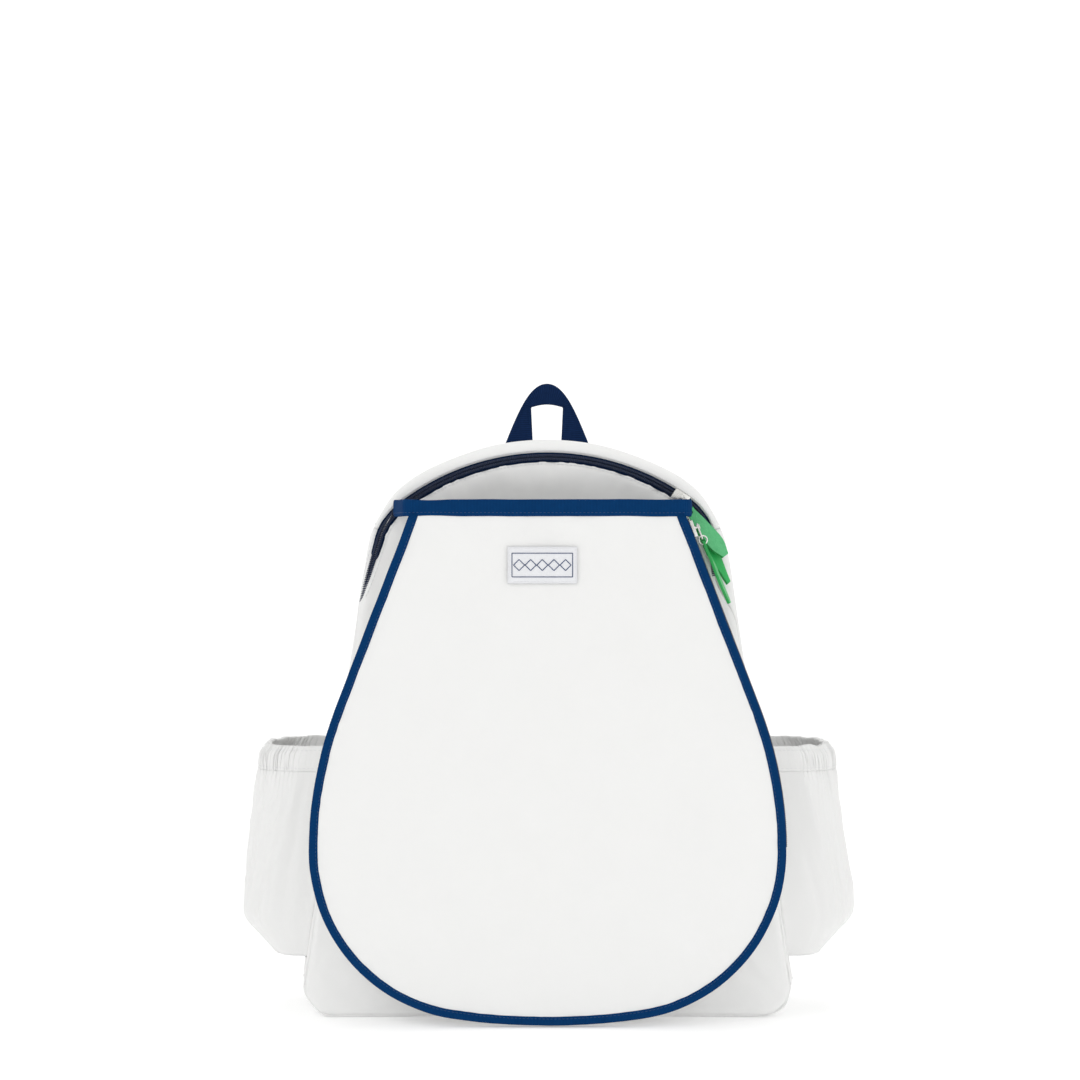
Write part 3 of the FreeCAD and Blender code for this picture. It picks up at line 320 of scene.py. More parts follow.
def cap_ends(piece):
    """Close the open ends of a swept tube."""
    with editing(piece) as bm:
        bmesh.ops.holes_fill(bm, edges=[e for e in bm.edges if e.is_boundary])
        bmesh.ops.recalc_face_normals(bm, faces=bm.faces)


def weld(piece, distance=1e-5):
    """Join points that lie on one another, as at the middle of a round panel."""
    with editing(piece) as bm:
        bmesh.ops.remove_doubles(bm, verts=bm.verts, dist=distance)


def face_outwards(piece, centre):
    """Turn a surface's faces away from a point inside it."""
    mesh = piece.data
    inside = Vector(centre)
    votes = sum(p.area * (p.center - inside).dot(p.normal) for p in mesh.polygons)
    if votes < 0:
        mesh.flip_normals()


def plain_faces(bm):
    """Join the triangles of each flat face of a CAD mesh."""
    bmesh.ops.remove_doubles(bm, verts=bm.verts, dist=SAME_SPOT)
    bmesh.ops.dissolve_limit(bm, angle_limit=math.radians(1), verts=bm.verts, edges=bm.edges)


def round_edges(piece, width, segments, sharper_than):
    """Round the edges where a piece turns by more than some degrees."""
    rounding = piece.modifiers.new("rounding", "BEVEL")
    rounding.width = width
    rounding.segments = segments
    rounding.limit_method = "ANGLE"
    rounding.angle_limit = math.radians(sharper_than)
    shade_smooth(piece)


def soften(name, node, width=0.0005, segments=2):
    """A copy of a CAD piece with rounded edges."""
    piece = new_object(name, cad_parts[node].data.copy())
    with editing(piece) as bm:
        plain_faces(bm)
    round_edges(piece, width, segments, 35)
    return piece


def add_rings(verts, faces, rings):
    """Add a tube through rings of points, closed at both ends, to a mesh being built."""
    base = len(verts)
    sides = len(rings[0])
    for ring in rings:
        verts.extend(ring)
    last = base + (len(rings) - 1) * sides
    for start in range(base, last, sides):
        for j in range(sides):
            a = start + j
            b = start + (j + 1) % sides
            faces.append((a, b, b + sides, a + sides))
    faces.append([base + j for j in range(sides)][::-1])
    faces.append([last + j for j in range(sides)])


def circle(spot, side, up, radius, sides=6):
    """A ring of points round a spot."""
    turns = [2 * math.pi * j / sides for j in range(sides)]
    return [spot + (side * math.cos(turn) + up * math.sin(turn)) * radius for turn in turns]


def stitches(name, path, out, pitch=0.0032, long=0.0023, half=0.00032):
    """A row of sewn stitches lying on a path; out is the surface's normal at each point."""
    run = run_along(path)
    count = max(int(run[-1] / pitch), 1)
    verts = []
    faces = []
    bulge = ((-0.5, 0.35), (-0.25, 1.0), (0.25, 1.0), (0.5, 0.35))      # place and girth
    sunk = 0.3      # how high its middle lies, as a share of its half thickness
    for k in range(count):
        middle = (k + 0.5) * run[-1] / count
        start, end = (read_line(middle + sign * long / 2, run, path) for sign in (-1, 1))
        up = read_line(middle, run, out)
        up /= np.linalg.norm(up)
        along = end - start
        side = np.cross(along, up)
        side /= np.linalg.norm(side)
        add_rings(verts, faces, [
            circle((start + end) / 2 + along * share + up * half * sunk * size, side, up, half * size)
            for share, size in bulge])
    return mesh_piece(name, verts, faces)


def teeth(name, path, across, out):
    """One row of zip coil: rounded turns set close together along a path."""
    run = run_along(path)
    along_all = np.gradient(path, axis=0)
    verts = []
    faces = []
    section = oval(0.42 * COIL_PITCH, COIL_TALL / 2, square=2.2, count=8)
    steps = ((-1.0, 0.6), (-0.82, 1.0), (0.82, 1.0), (1.0, 0.6))        # place and girth
    for k in range(int(run[-1] / COIL_PITCH)):
        at = (k + 0.5) * COIL_PITCH
        spot, side, up, along = (read_line(at, run, line)
                                 for line in (path, across, out, along_all))
        along /= np.linalg.norm(along)
        add_rings(verts, faces, [
            [spot + side * COIL_HALF * step + along * a * shrink
             + up * (COIL_TALL / 2 + b * shrink) for a, b in section]
            for step, shrink in steps])
    piece = mesh_piece(name, verts, faces)
    with editing(piece) as bm:
        bmesh.ops.recalc_face_normals(bm, faces=bm.faces)
    return piece


def swap_sides(piece):
    """Mirror a piece's mesh to the other side of the bag."""
    piece.data.transform(Matrix.Diagonal((-1, 1, 1, 1)))
    piece.data.flip_normals()


def mirror_copy(name, piece):
    """The same piece on the other side of the bag."""
    twin = new_object(name, piece.data.copy())
    swap_sides(twin)
    return twin


# ------------------------------------------------------------------ materials


class Finish:
    """A material built node by node, with its Principled shader at the end."""

    def __init__(self, name, on_cloth=None):
        """Patterns are laid on the flat cloth, or in the bag for a solid piece."""
        self.material = bpy.data.materials.new(name)
        self.material.use_nodes = True
        self.tree = self.material.node_tree
        self.shader = self.tree.nodes["Principled BSDF"]
        if on_cloth:
            self.place = self.node("ShaderNodeAttribute", 1, {"attribute_name": "cloth"})
        elif on_cloth is not None:
            self.place = self.node("ShaderNodeTexCoord", 3)

    def node(self, kind, output=0, settings=None, **inputs):
        made = self.tree.nodes.new(kind)
        for key, value in (settings or {}).items():
            setattr(made, key, value)
        for key, value in inputs.items():
            self.feed(made.inputs[key.replace("_", " ")], value)
        return made.outputs[output]

    def feed(self, socket, value):
        if isinstance(value, bpy.types.NodeSocket):
            self.tree.links.new(value, socket)
        else:
            socket.default_value = value

    def set(self, **inputs):
        for key, value in inputs.items():
            self.feed(self.shader.inputs[key.replace("_", " ")], value)

    def ribs(self, direction, pitch, distortion=0.0):
        """Parallel ridges, 0 to 1, one every pitch metres."""
        return self.node("ShaderNodeTexWave", 1,
                         {"bands_direction": direction, "wave_profile": "SIN"},
                         Vector=self.place, Scale=math.pi / (10 * pitch), Distortion=distortion,
                         Detail=1.0, Detail_Scale=2.0)

    def cloud(self, size):
        """Soft noise, 0 to 1, of a given size."""
        return self.node("ShaderNodeTexNoise", 0, None, Vector=self.place, Scale=1 / size,
                         Detail=3.0, Roughness=0.55)

    def cells(self, size):
        """Round cells: 0 in the middle of each."""
        return self.node("ShaderNodeTexVoronoi", 0, {"feature": "F1"}, Vector=self.place,
                         Scale=1 / size)

    def math(self, kind, first, second):
        made = self.tree.nodes.new("ShaderNodeMath")
        made.operation = kind
        self.feed(made.inputs[0], first)
        self.feed(made.inputs[1], second)
        return made.outputs[0]

    def sum_of(self, *terms):
        """Outputs added up, each one times its weight."""
        total, *rest = [self.math("MULTIPLY", output, weight) for output, weight in terms]
        for term in rest:
            total = self.math("ADD", total, term)
        return total

    def blend(self, share, first, second):
        made = self.tree.nodes.new("ShaderNodeMix")
        made.data_type = "RGBA"
        self.feed(made.inputs[0], share)
        self.feed(made.inputs[6], (*first, 1) if isinstance(first, tuple) else first)
        self.feed(made.inputs[7], (*second, 1) if isinstance(second, tuple) else second)
        return made.outputs[2]

    def bump(self, *layers):
        """Relief from (height, depth in metres) layers, one on top of the other."""
        normal = None
        for height, depth in layers:
            inputs = {"Height": height, "Distance": depth, "Strength": 1.0}
            if normal is not None:
                inputs["Normal"] = normal
            normal = self.node("ShaderNodeBump", 0, None, **inputs)
        self.set(Normal=normal)


def canvas(name, light, dark, on_cloth=True, weave=0.0006):
    """Coated plain-weave canvas: fine crossed threads under a smooth skin."""
    finish = Finish(name, on_cloth)
    warp = finish.ribs("X", weave, 0.6)
    weft = finish.ribs("Y", weave, 0.6)
    threads = finish.math("MULTIPLY", warp, weft)
    soft = finish.cloud(0.045)
    grain = finish.cloud(0.004)
    shade = finish.sum_of((soft, 0.6), (threads, 0.4))
    finish.set(Base_Color=finish.blend(shade, dark, light), Roughness=0.62,
               Specular_IOR_Level=0.35, Sheen_Weight=0.25, Sheen_Roughness=0.5,
               Subsurface_Weight=0.0)
    finish.bump((soft, 0.0012), (grain, 0.00012), (threads, 0.00006))
    return finish.material


def grosgrain(name, light, dark, pitch=0.0011, direction="X", on_cloth=True):
    """Ribbed navy tape: ribs across it, darker in the grooves between them as painted shade, with
    soft paler patches of wear.
    """
    finish = Finish(name, on_cloth)
    ribs = finish.ribs(direction, pitch, 0.4)
    other = "Y" if direction == "X" else "X"
    fine = finish.ribs(other, pitch * 0.6, 0.8)
    patches = finish.cloud(0.006)
    # the ribs and fine cross-ribs lay painted shade in the grooves; the soft patches are wear
    lit = finish.sum_of((ribs, 0.45), (patches, 0.45), (fine, 0.15))
    finish.set(Base_Color=finish.blend(lit, dark, light), Roughness=0.72,
               Specular_IOR_Level=0.05)
    finish.bump((patches, 0.0002), (ribs, 0.00018), (fine, 0.00006))
    return finish.material


def nylon_coil():
    """Moulded nylon coil, slightly glossy."""
    finish = Finish("nylon_coil", False)
    patches = finish.cloud(0.002)
    finish.set(Base_Color=finish.blend(patches, (0.003, 0.009, 0.030), (0.012, 0.028, 0.080)),
               Roughness=0.38, Specular_IOR_Level=0.5)
    finish.bump((patches, 0.00005))
    return finish.material


def leather(name, light, dark, depth):
    """Smooth dyed leather with a fine pebbled grain."""
    finish = Finish(name, False)
    pebbles = finish.cells(0.0011)
    patches = finish.cloud(0.007)
    shade = finish.sum_of((pebbles, 0.5), (patches, 0.6))
    rough = finish.math("ADD", finish.math("MULTIPLY", patches, 0.15), 0.42)
    finish.set(Base_Color=finish.blend(shade, light, dark), Roughness=rough,
               Specular_IOR_Level=0.45, Coat_Weight=0.08, Coat_Roughness=0.4)
    finish.bump((patches, 0.0002), (pebbles, depth))
    return finish.material


def silver():
    """Plated zinc: bright, lightly brushed, duller where it is handled."""
    finish = Finish("silver_metal", False)
    patches = finish.cloud(0.003)
    brush = finish.ribs("Z", 0.0002, 4.0)
    rough = finish.math("ADD", finish.math("MULTIPLY", patches, 0.22), 0.16)
    finish.set(Base_Color=finish.blend(patches, (0.72, 0.71, 0.68), (0.88, 0.87, 0.84)),
               Metallic=1.0, Roughness=rough)
    finish.bump((brush, 0.00001))
    return finish.material


def moulded(name, light, dark):
    """Moulded plastic with a fine spark-eroded texture."""
    finish = Finish(name, False)
    grain = finish.cloud(0.0006)
    patches = finish.cloud(0.012)
    finish.set(Base_Color=finish.blend(patches, dark, light), Roughness=0.48,
               Specular_IOR_Level=0.5)
    finish.bump((grain, 0.00006))
    return finish.material


def open_foam():
    """Open-cell foam."""
    finish = Finish("open_foam", False)
    cells = finish.cells(0.0014)
    finish.set(Base_Color=finish.blend(cells, (0.80, 0.79, 0.74), (0.60, 0.59, 0.55)),
               Roughness=0.95, Specular_IOR_Level=0.1)
    finish.bump((cells, 0.0004))
    return finish.material


def satin_label():
    """Tightly woven satin of the label."""
    finish = Finish("satin_label", True)
    threads = finish.ribs("Y", 0.00035, 0.3)
    floats = finish.ribs("X", 0.0009, 1.5)
    lit = finish.math("MULTIPLY", threads, floats)
    finish.set(Base_Color=finish.blend(lit, (0.80, 0.81, 0.84), (0.90, 0.90, 0.92)),
               Roughness=0.45, Sheen_Weight=0.3, Anisotropic=0.4)
    finish.bump((threads, 0.00005), (floats, 0.00004))
    return finish.material


WHITE_TONES = (0.885, 0.885, 0.88), (0.84, 0.84, 0.835)
NAVY_TONES = (0.008, 0.027, 0.095), (0.002, 0.010, 0.038)
WHITE = canvas("white_canvas", *WHITE_TONES)
WHITE_SOLID = canvas("white_canvas_solid", *WHITE_TONES, on_cloth=False)
WHITE_THIN = canvas("white_poplin", (0.91, 0.91, 0.905), (0.87, 0.87, 0.865), weave=0.0004)
LINING = canvas("grey_lining", (0.66, 0.68, 0.70), (0.60, 0.62, 0.64), weave=0.0005)
BINDING = grosgrain("navy_grosgrain", (0.002, 0.047, 0.165), (0.0005, 0.024, 0.092))
WEBBING = grosgrain("navy_webbing", *NAVY_TONES, 0.0016)
WEBBING_SOLID = grosgrain("navy_webbing_solid", *NAVY_TONES, 0.0016, "Z", on_cloth=False)
TAPE = grosgrain("zip_tape", (0.005, 0.019, 0.060), (0.001, 0.008, 0.028), 0.0008)
COIL = nylon_coil()
THREAD_WHITE = moulded("white_thread", (0.84, 0.84, 0.85), (0.78, 0.78, 0.80))
THREAD_NAVY = moulded("navy_thread", (0.006, 0.045, 0.16), (0.003, 0.025, 0.10))
# the face's paler green is partly the leather's own colour and partly painted sheen, light reflected
# off its satin face
GREEN_FACE = leather("green_leather_face", (0.13, 0.56, 0.24), (0.06, 0.42, 0.15), 0.00012)
GREEN_EDGE = leather("green_leather_edge", (0.012, 0.38, 0.075), (0.006, 0.26, 0.045), 0.00004)
# the back of the leather in its edge colour, made brighter as painted light to lift leaves that sit
# in shade
GREEN_BACK = leather("green_leather_back", (0.018, 0.50, 0.11), (0.008, 0.34, 0.065), 0.0001)
METAL = silver()
BUCKLE = moulded("navy_plastic", (0.014, 0.036, 0.115), (0.010, 0.026, 0.085))
BOARD = moulded("grey_board", (0.11, 0.11, 0.12), (0.08, 0.08, 0.09))
FOAM = open_foam()
LABEL = satin_label()


def paint(piece, material):
    piece.data.materials.clear()
    piece.data.materials.append(material)


def finish_piece(piece, material, rides="root", nodes=()):
    """Give a piece its material, its body and the CAD pieces it stands for."""
    paint(piece, material)
    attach(piece, rides)
    if nodes:
        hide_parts(*nodes)


def seam(name, path, out, slot, *sizes, thread=THREAD_WHITE):
    """Visible stitching on the root body."""
    finish_piece(stitches(name, path, out, *sizes), thread)


def sew(piece, inside, thickness, material, node):
    """Turn a surface away from a point inside it, and make it cloth on the root body.

    What comes back is the area of its own mesh, folds and all."""
    face_outwards(piece, inside)
    area = sum(p.area for p in piece.data.polygons)
    thicken(piece, thickness)
    finish_piece(piece, material, nodes=[node])
    return area


# ------------------------------------------------------------ main compartment

ZIP_DRIFT = 0.090      # stretch over which the zip leaves the front for the left side
ZIP_TAPER = 0.055      # stretch over which its left end closes to a point
ZIP_LEFT = -body.climb(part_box("main_zip_outer_tape")[0].z)
ZIP_RIGHT = body.climb(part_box("main_slider")[0].z - 0.052)      # it runs on below its slider
ZIP_SPAN = body.length - (ZIP_RIGHT - ZIP_LEFT)                 # its length, over the top
SHOULDER_S = body.climb(0.393)                                  # the outline's shoulder


def zip_share(s):
    """Distances of places from the zip's left end, going over the top to the right."""
    return np.mod(ZIP_LEFT - np.asarray(s, float), body.length)


def seam_inset(s):
    """Outline to the seam between gusset and front panel: the zip where there is one."""
    from_left = zip_share(s)
    drift = 1 - (1 - np.clip(from_left / ZIP_DRIFT, 0, 1)) ** 1.3
    on_zip = ZIP_INSET * drift
    past_left = SEAM_INSET * smooth((body.length - from_left) / 0.05)
    past_right = SEAM_INSET + (ZIP_INSET - SEAM_INSET) * (1 - smooth((from_left - ZIP_SPAN) / 0.04))
    past = np.where(body.length - from_left < 0.06, past_left, past_right)
    return np.where(from_left <= ZIP_SPAN, on_zip, past)


def half_opening(s):
    """Half of the gap between gusset and front panel."""
    from_left = zip_share(s)
    inside = smooth(from_left / ZIP_TAPER) * smooth((ZIP_SPAN - from_left) / (ZIP_TAPER / 2))
    inside = np.where(from_left <= ZIP_SPAN, inside, 0)
    return SEAM_GAP + (ZIP_OPEN - SEAM_GAP) * inside


def reach(inset):
    """How far an inset is across the casing from its back edge, round the front edge."""
    bend = np.arccos(np.clip(1 - np.asarray(inset) / EDGE_ROUND, -1, 1))
    return np.where(np.asarray(inset) < EDGE_ROUND, STRAIGHT + EDGE_ROUND * bend,
                    FACE + np.asarray(inset) - EDGE_ROUND)


def casing(s, v, lift=0.0):
    """Points of the casing: v metres forwards from its back edge, over the rounding."""
    bend = np.clip((v - STRAIGHT) / EDGE_ROUND, 0, math.pi / 2)
    over = np.maximum(v - FACE, 0)
    inset = EDGE_ROUND * (1 - np.cos(bend)) + over - lift * np.cos(bend)
    y = BACK_Y - np.clip(v, 0, STRAIGHT) - (EDGE_ROUND + lift) * np.sin(bend)
    points = stand(body.place(s, inset), y)
    points[..., 2] = np.maximum(points[..., 2], 0)
    return points


def casing_normal(s, v):
    """Outward direction of the casing."""
    bend = np.clip((v - STRAIGHT) / EDGE_ROUND, 0, math.pi / 2)
    return stand(body.read(body.normals, s) * np.cos(bend)[..., None], -np.sin(bend))


def slack(s, v):
    """How far the soft casing stands off its pattern: a swell, and folds that are
    deepest low down, where the cloth carries the weight."""
    place = np.mod(s, body.length)
    place = np.minimum(place, body.length - place)
    held = np.sin(math.pi * np.clip(v / STRAIGHT, 0, 1)) ** 0.8
    corner = np.exp(-((place - 0.20) / 0.055) ** 2)
    swell = 0.0025 * held * smooth((place - 0.15) / 0.08)
    soft = 0.0009 * fold_noise(s, v, 0.045, 3.0)
    folds = 0.0032 * corner * fold_noise(s + 0.6 * v, v, 0.021, 9.0)
    ridges = 0.0016 * corner * (0.5 - np.abs(fold_noise(s - 0.8 * v, v * 0.4, 0.03, 5.0)))
    shoulder = -0.0032 * np.exp(-((place - SHOULDER_S) / 0.022) ** 2)
    front = 1 - smooth((v - STRAIGHT) / (FACE - STRAIGHT))
    return swell + (soft + folds + ridges) * smooth(v / 0.012) + shoulder * front


def casing_piece(name, first, last, node):
    """One gusset or the base, from its back edge to the zip or the front seam."""
    rows = max(int(abs(last - first) / 0.0028), 40)
    gap = SEAM_GAP if last > first else -SEAM_GAP
    s = np.linspace(first + gap, last - gap, rows)[:, None]
    ends = reach(seam_inset(s)) - half_opening(s)
    v = np.linspace(0, 1, 56)[None, :] * ends
    near_end = np.minimum(np.abs(s - first), np.abs(last - s))
    turned_in = 0.0002 + 0.0006 * half_opening(s) / ZIP_OPEN
    dip = -0.0004 * np.exp(-(near_end / 0.003) ** 2)
    dip = dip - turned_in * np.exp(-((ends - v) / 0.0018) ** 2)
    points = casing(s, v, slack(s, v) + dip)
    piece = grid_piece(name, points, pairs(s, v))
    area = sew(piece, MIDDLE, CLOTH_THICK, WHITE, node)


def main_casing():
    low = body.climb(SEAM_LOW)
    high = body.climb(SEAM_HIGH)
    casing_piece("base_fabric", -low, low, "base_panel")
    casing_piece("side_fabric_right", low, high, "side_gusset_right")
    casing_piece("side_fabric_left", -high, -low, "side_gusset_left")
    casing_piece("top_fabric", high, body.length - high, "top_gusset")


def round_panel(name, points):
    """A panel whose rows run from its edge to its middle."""
    piece = grid_piece(name, points, points[..., ::2], round_rows=True)
    weld(piece)
    return piece


def front_panel():
    """Front of the main compartment: gathered along the zip and hollow below it."""
    s = np.linspace(0, body.length, 520, endpoint=False)[:, None]
    edge = reach(seam_inset(s)) + half_opening(s)
    brow = np.maximum(FACE - edge, 0) + 0.002
    rim = casing(s, edge + brow)[:, 0, :]
    centre = np.array([0, FRONT_Y, 0.20])
    t = (np.linspace(0, 1, 60) ** 1.35)[None, 1:]
    inward = centre[None, None, :] - rim[:, None, :]
    over = np.linspace(0, 1, 9)[None, :]
    points = np.concatenate([casing(s, edge + brow * over),
                             rim[:, None, :] + inward * t[..., None]], axis=1)
    depth = np.concatenate([brow * over, brow + np.linalg.norm(inward, axis=-1) * t], axis=1)
    high = smooth((rim[:, 2:3] - 0.36) / 0.05)
    gathers = 0.0016 * np.exp(-depth / 0.016) * fold_noise(s * 1.9, depth * 0.5, 0.016, 2.0)
    broad = 0.0022 * fold_noise(points[..., 0], points[..., 2], 0.05, 6.0)
    hollow = 0.0035 * smooth(depth / 0.03) * high
    rolled = (0.0002 + 0.001 * half_opening(s) / ZIP_OPEN) * np.exp(-(depth / 0.0022) ** 2)
    low = smooth((0.09 - rim[:, 2:3]) / 0.06)
    creased = fold_noise(points[..., 0] + 0.7 * points[..., 2], points[..., 2] * 0.6, 0.024, 17.0)
    wrinkles = 0.0026 * low * smooth(depth / 0.02) * (0.5 - np.abs(creased))
    points[..., 1] += (gathers + broad * smooth(depth / 0.02)) * (0.35 + high) + hollow + rolled
    points[..., 1] -= wrinkles
    points[..., 1] = np.maximum(points[..., 1], FRONT_Y - 0.0022)
    points[..., 2] = np.maximum(points[..., 2], 0.0002)
    piece = round_panel("main_front_fabric", points)
    area = sew(piece, (0, 0.05, 0.2), CLOTH_THICK, WHITE, "main_front_panel")


def zip_path(off, lift, step=0.002, trim=0.0):
    """Points, sideways and outward directions of a line beside the main zip's middle."""
    s = ZIP_LEFT - np.linspace(trim, ZIP_SPAN - trim, int(ZIP_SPAN / step))
    v = reach(seam_inset(s)) + off
    points = casing(s, v, lift)
    out = casing_normal(s, v)
    across = casing(s, v + 0.0005, lift) - casing(s, v - 0.0005, lift)
    return points, directions(across), out


def main_zip():
    """Tapes, coil and the stitching beside them."""
    for name, side in (("outer", -1), ("inner", 1)):
        path, across, out = zip_path(side * TAPE_OFF, -0.0013)
        tape = sweep(f"main_zip_{name}_tape_cloth", path, across, out, oval(0.0016, TAPE_THIN))
        finish_piece(tape, TAPE, nodes=[f"main_zip_{name}_tape"])
        path, across, out = zip_path(side * COIL_OFF, -0.0010)
        coil = teeth(f"main_zip_{name}_turns", path, across, out)
        finish_piece(coil, COIL, nodes=[f"main_zip_{name}_coil"])
        path, _, out = zip_path(side * (ZIP_OPEN + 0.0016), 0.0002, trim=0.004)
        seam(f"main_zip_{name}_stitching", path, out, "white_fabric")


def casing_seams():
    """Top-stitching beside the seams between base, sides and top."""
    for name, height in (("base", SEAM_LOW), ("top", SEAM_HIGH)):
        place = body.climb(height)
        for side, sign in (("right", 1), ("left", -1)):
            s = np.full(STITCH_SPOTS, sign * (place + 0.003))
            v = np.linspace(0.004, STRAIGHT, STITCH_SPOTS)
            lift = slack(s[:, None], v[:, None])[:, 0]
            path = casing(s, v, lift + 0.0001)
            seam(f"{name}_seam_{side}", path, casing_normal(s, v), "white_fabric")


# --------------------------------------------------------------- racket pocket

POCKET_TOP_S = pocket.climb(MOUTH_Z - 0.0004)
POCKET_TAPER = 0.024        # how far the pocket's gusset is drawn in at the body
GUSSET_STRAIGHT = 0.014     # its depth before that
PANEL_CROWN = 0.0055        # swell of the padded front
NAVY_STITCH = (0.003, 0.0021, 0.00024)      # pitch, length and half thickness
ZIP_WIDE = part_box("pocket_zip_back_tape")[1].y - FOAM_Y
POCKET_ZIP_S = pocket.climb(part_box("pocket_zip_front_tape")[0].z)


def crown(x, z):
    """How far the padded front stands proud: nothing at its edge, most in its middle."""
    half = np.maximum(pocket.half_width(np.maximum(z, 0.004)), 0.02)
    across = np.clip(1 - (x / half) ** 2, 0, 1)
    return PANEL_CROWN * across * smooth(z / 0.13) * smooth((MOUTH_Z - z) / 0.16)


def spread_evenly(points, count):
    """Places spaced evenly along a closed line."""
    loop = np.vstack([points, points[:1]])
    run = run_along(loop)
    even = np.linspace(0, run[-1], count, endpoint=False)
    return read_line(even, run, loop), even


def panel_rim(inset, count):
    """Edge of the padded front: round its sides, then straight under the mouth's binding."""
    side = pocket.place(np.linspace(POCKET_TOP_S, -POCKET_TOP_S, count), inset)
    side = side[side[:, 1] < MOUTH_Z - 0.006]
    lean = (side[0] - side[3]) / (side[0] - side[3])[1]
    corner = side[0] + lean * (MOUTH_Z + 0.005 - side[0][1])
    return spread_evenly(np.vstack([[corner], side, [corner * (-1, 1)]]), count)


def panel_points(sink, inset, rows=420, columns=64):
    """The padded front, from its bound edge to the middle, sunk behind its face."""
    rim, s = panel_rim(inset, rows)
    centre = np.array([0.0, 0.17])
    t = (np.linspace(0, 1, columns) ** 1.5)[None, :, None]
    flat = rim[:, None, :] + (centre - rim)[:, None, :] * t
    depth = np.linalg.norm((centre - rim)[:, None, :] * t, axis=-1)
    around = np.broadcast_to(s[:, None], depth.shape)
    pucker = 0.00055 * np.exp(-depth / 0.010) * fold_noise(around, depth, 0.0065, 4.0)
    waves = 0.0006 * smooth(depth / 0.03) * fold_noise(flat[..., 0], flat[..., 1], 0.075, 8.0)
    near_mouth = np.exp(-((MOUTH_Z - flat[..., 1]) / 0.03) ** 2)
    ruffle = 0.0011 * near_mouth * fold_noise(flat[..., 0], flat[..., 1] * 0.45, 0.022, 11.0)
    swell = crown(flat[..., 0], flat[..., 1])
    return stand(flat, POCKET_Y + sink - swell - pucker - waves - ruffle * smooth(depth / 0.01))


def racket_panel():
    """Front fabric with its foam behind it."""
    layers = (
        ("racket_pocket_fabric", 0.0, WHITE, "white_fabric", "racket_pocket_panel", 0.0012),
        ("racket_pocket_padding", 0.0014, FOAM, "foam", "racket_pocket_foam", 0.0014),
    )
    for name, sink, material, slot, node, thickness in layers:
        piece = round_panel(name, panel_points(sink, PIPING_WIDE * 0.55))
        area = sew(piece, MIDDLE, thickness, material, node)


def pocket_line(inset, y, count=520, first=None, last=None, stray=0.0):
    """A line beside the pocket's outline, and its sideways and outward directions."""
    first = -POCKET_TOP_S if first is None else first
    last = POCKET_TOP_S if last is None else last
    s = np.linspace(first, last, count)
    wander = stray * fold_noise(s, np.zeros(count), 0.03, 21.0)
    depth = y + 0.7 * stray * fold_noise(s, np.zeros(count), 0.045, 23.0)
    points = stand(pocket.place(s, inset + wander), depth)
    return points, stand(pocket.read(pocket.normals, s), 0), facing(FORWARDS, s)


def run_on(line, far):
    """A line carried straight on past both its ends."""
    path, across, out = line
    first, last = (path[[0, -1]] + directions(path[[0, -1]] - path[[1, -2]]) * far)
    return (np.vstack([first, path, last]), np.vstack([across[:1], across, across[-1:]]),
            np.vstack([out[:1], out, out[-1:]]))


def racket_piping():
    """Bound edge: a folded tape with a line of stitching along its inner side."""
    deep = (FOAM_Y - POCKET_Y) / 2 + 0.0012
    middle = (FOAM_Y + POCKET_Y) / 2 - 0.0003
    line = pocket_line(PIPING_WIDE / 2, middle, first=0.004 - POCKET_TOP_S,
                       last=POCKET_TOP_S - 0.004, stray=0.0004)
    path, across, out = run_on(line, 0.008)
    piece = sweep("racket_pocket_edge_tape", path, across, out,
                  oval(PIPING_WIDE / 2, deep, 3.2, 24))
    finish_piece(piece, BINDING, nodes=["racket_pocket_piping"])
    path, _, out = pocket_line(PIPING_WIDE - 0.0016, middle - deep * 0.93, stray=0.0004)
    seam("racket_pocket_edge_stitching", path, out, "navy_binding", *NAVY_STITCH,
         thread=THREAD_NAVY)


def gusset_places(s, depth):
    """Points of the pocket's gusset: depth metres behind its front edge."""
    behind = FRONT_Y - FOAM_Y
    taper = POCKET_TAPER * smooth((depth - GUSSET_STRAIGHT) / (behind - GUSSET_STRAIGHT))
    held = np.sin(math.pi * np.clip(depth / behind, 0, 1))
    folds = 0.0011 * fold_noise(s, depth * 0.5, 0.013, 13.0) * smooth(depth / 0.006)
    soft = 0.0016 * fold_noise(s, depth, 0.05, 15.0) * held
    flat = pocket.place(s, taper - (folds * (0.3 + held) + soft) * smooth(depth / 0.02) + 0.0008)
    flat[..., 1] = np.maximum(flat[..., 1], 0.0012)
    return stand(flat, FOAM_Y + depth + 0.0002)


def racket_gusset():
    """The strip that joins the front to the body, open where the side zip is."""
    behind = FRONT_Y - FOAM_Y
    for name, first, last in (("right", 0.0003, POCKET_TOP_S), ("left", -POCKET_TOP_S, -0.0003)):
        s = np.linspace(first, last, 260)[:, None]
        start = 0.0
        if name == "right":
            start = (ZIP_WIDE - 0.001) * smooth((s - POCKET_ZIP_S) / 0.004 + 1)
        depth = start + np.linspace(0, 1, 22)[None, :] * (behind + 0.003 - start)
        s, depth = np.broadcast_arrays(s, depth)
        piece = grid_piece(f"racket_pocket_side_{name}", gusset_places(s, depth), pairs(s, depth))
        area = sew(piece, (0, -0.07, 0.18), CLOTH_THICK, WHITE,
                   f"racket_pocket_gusset_{name}")


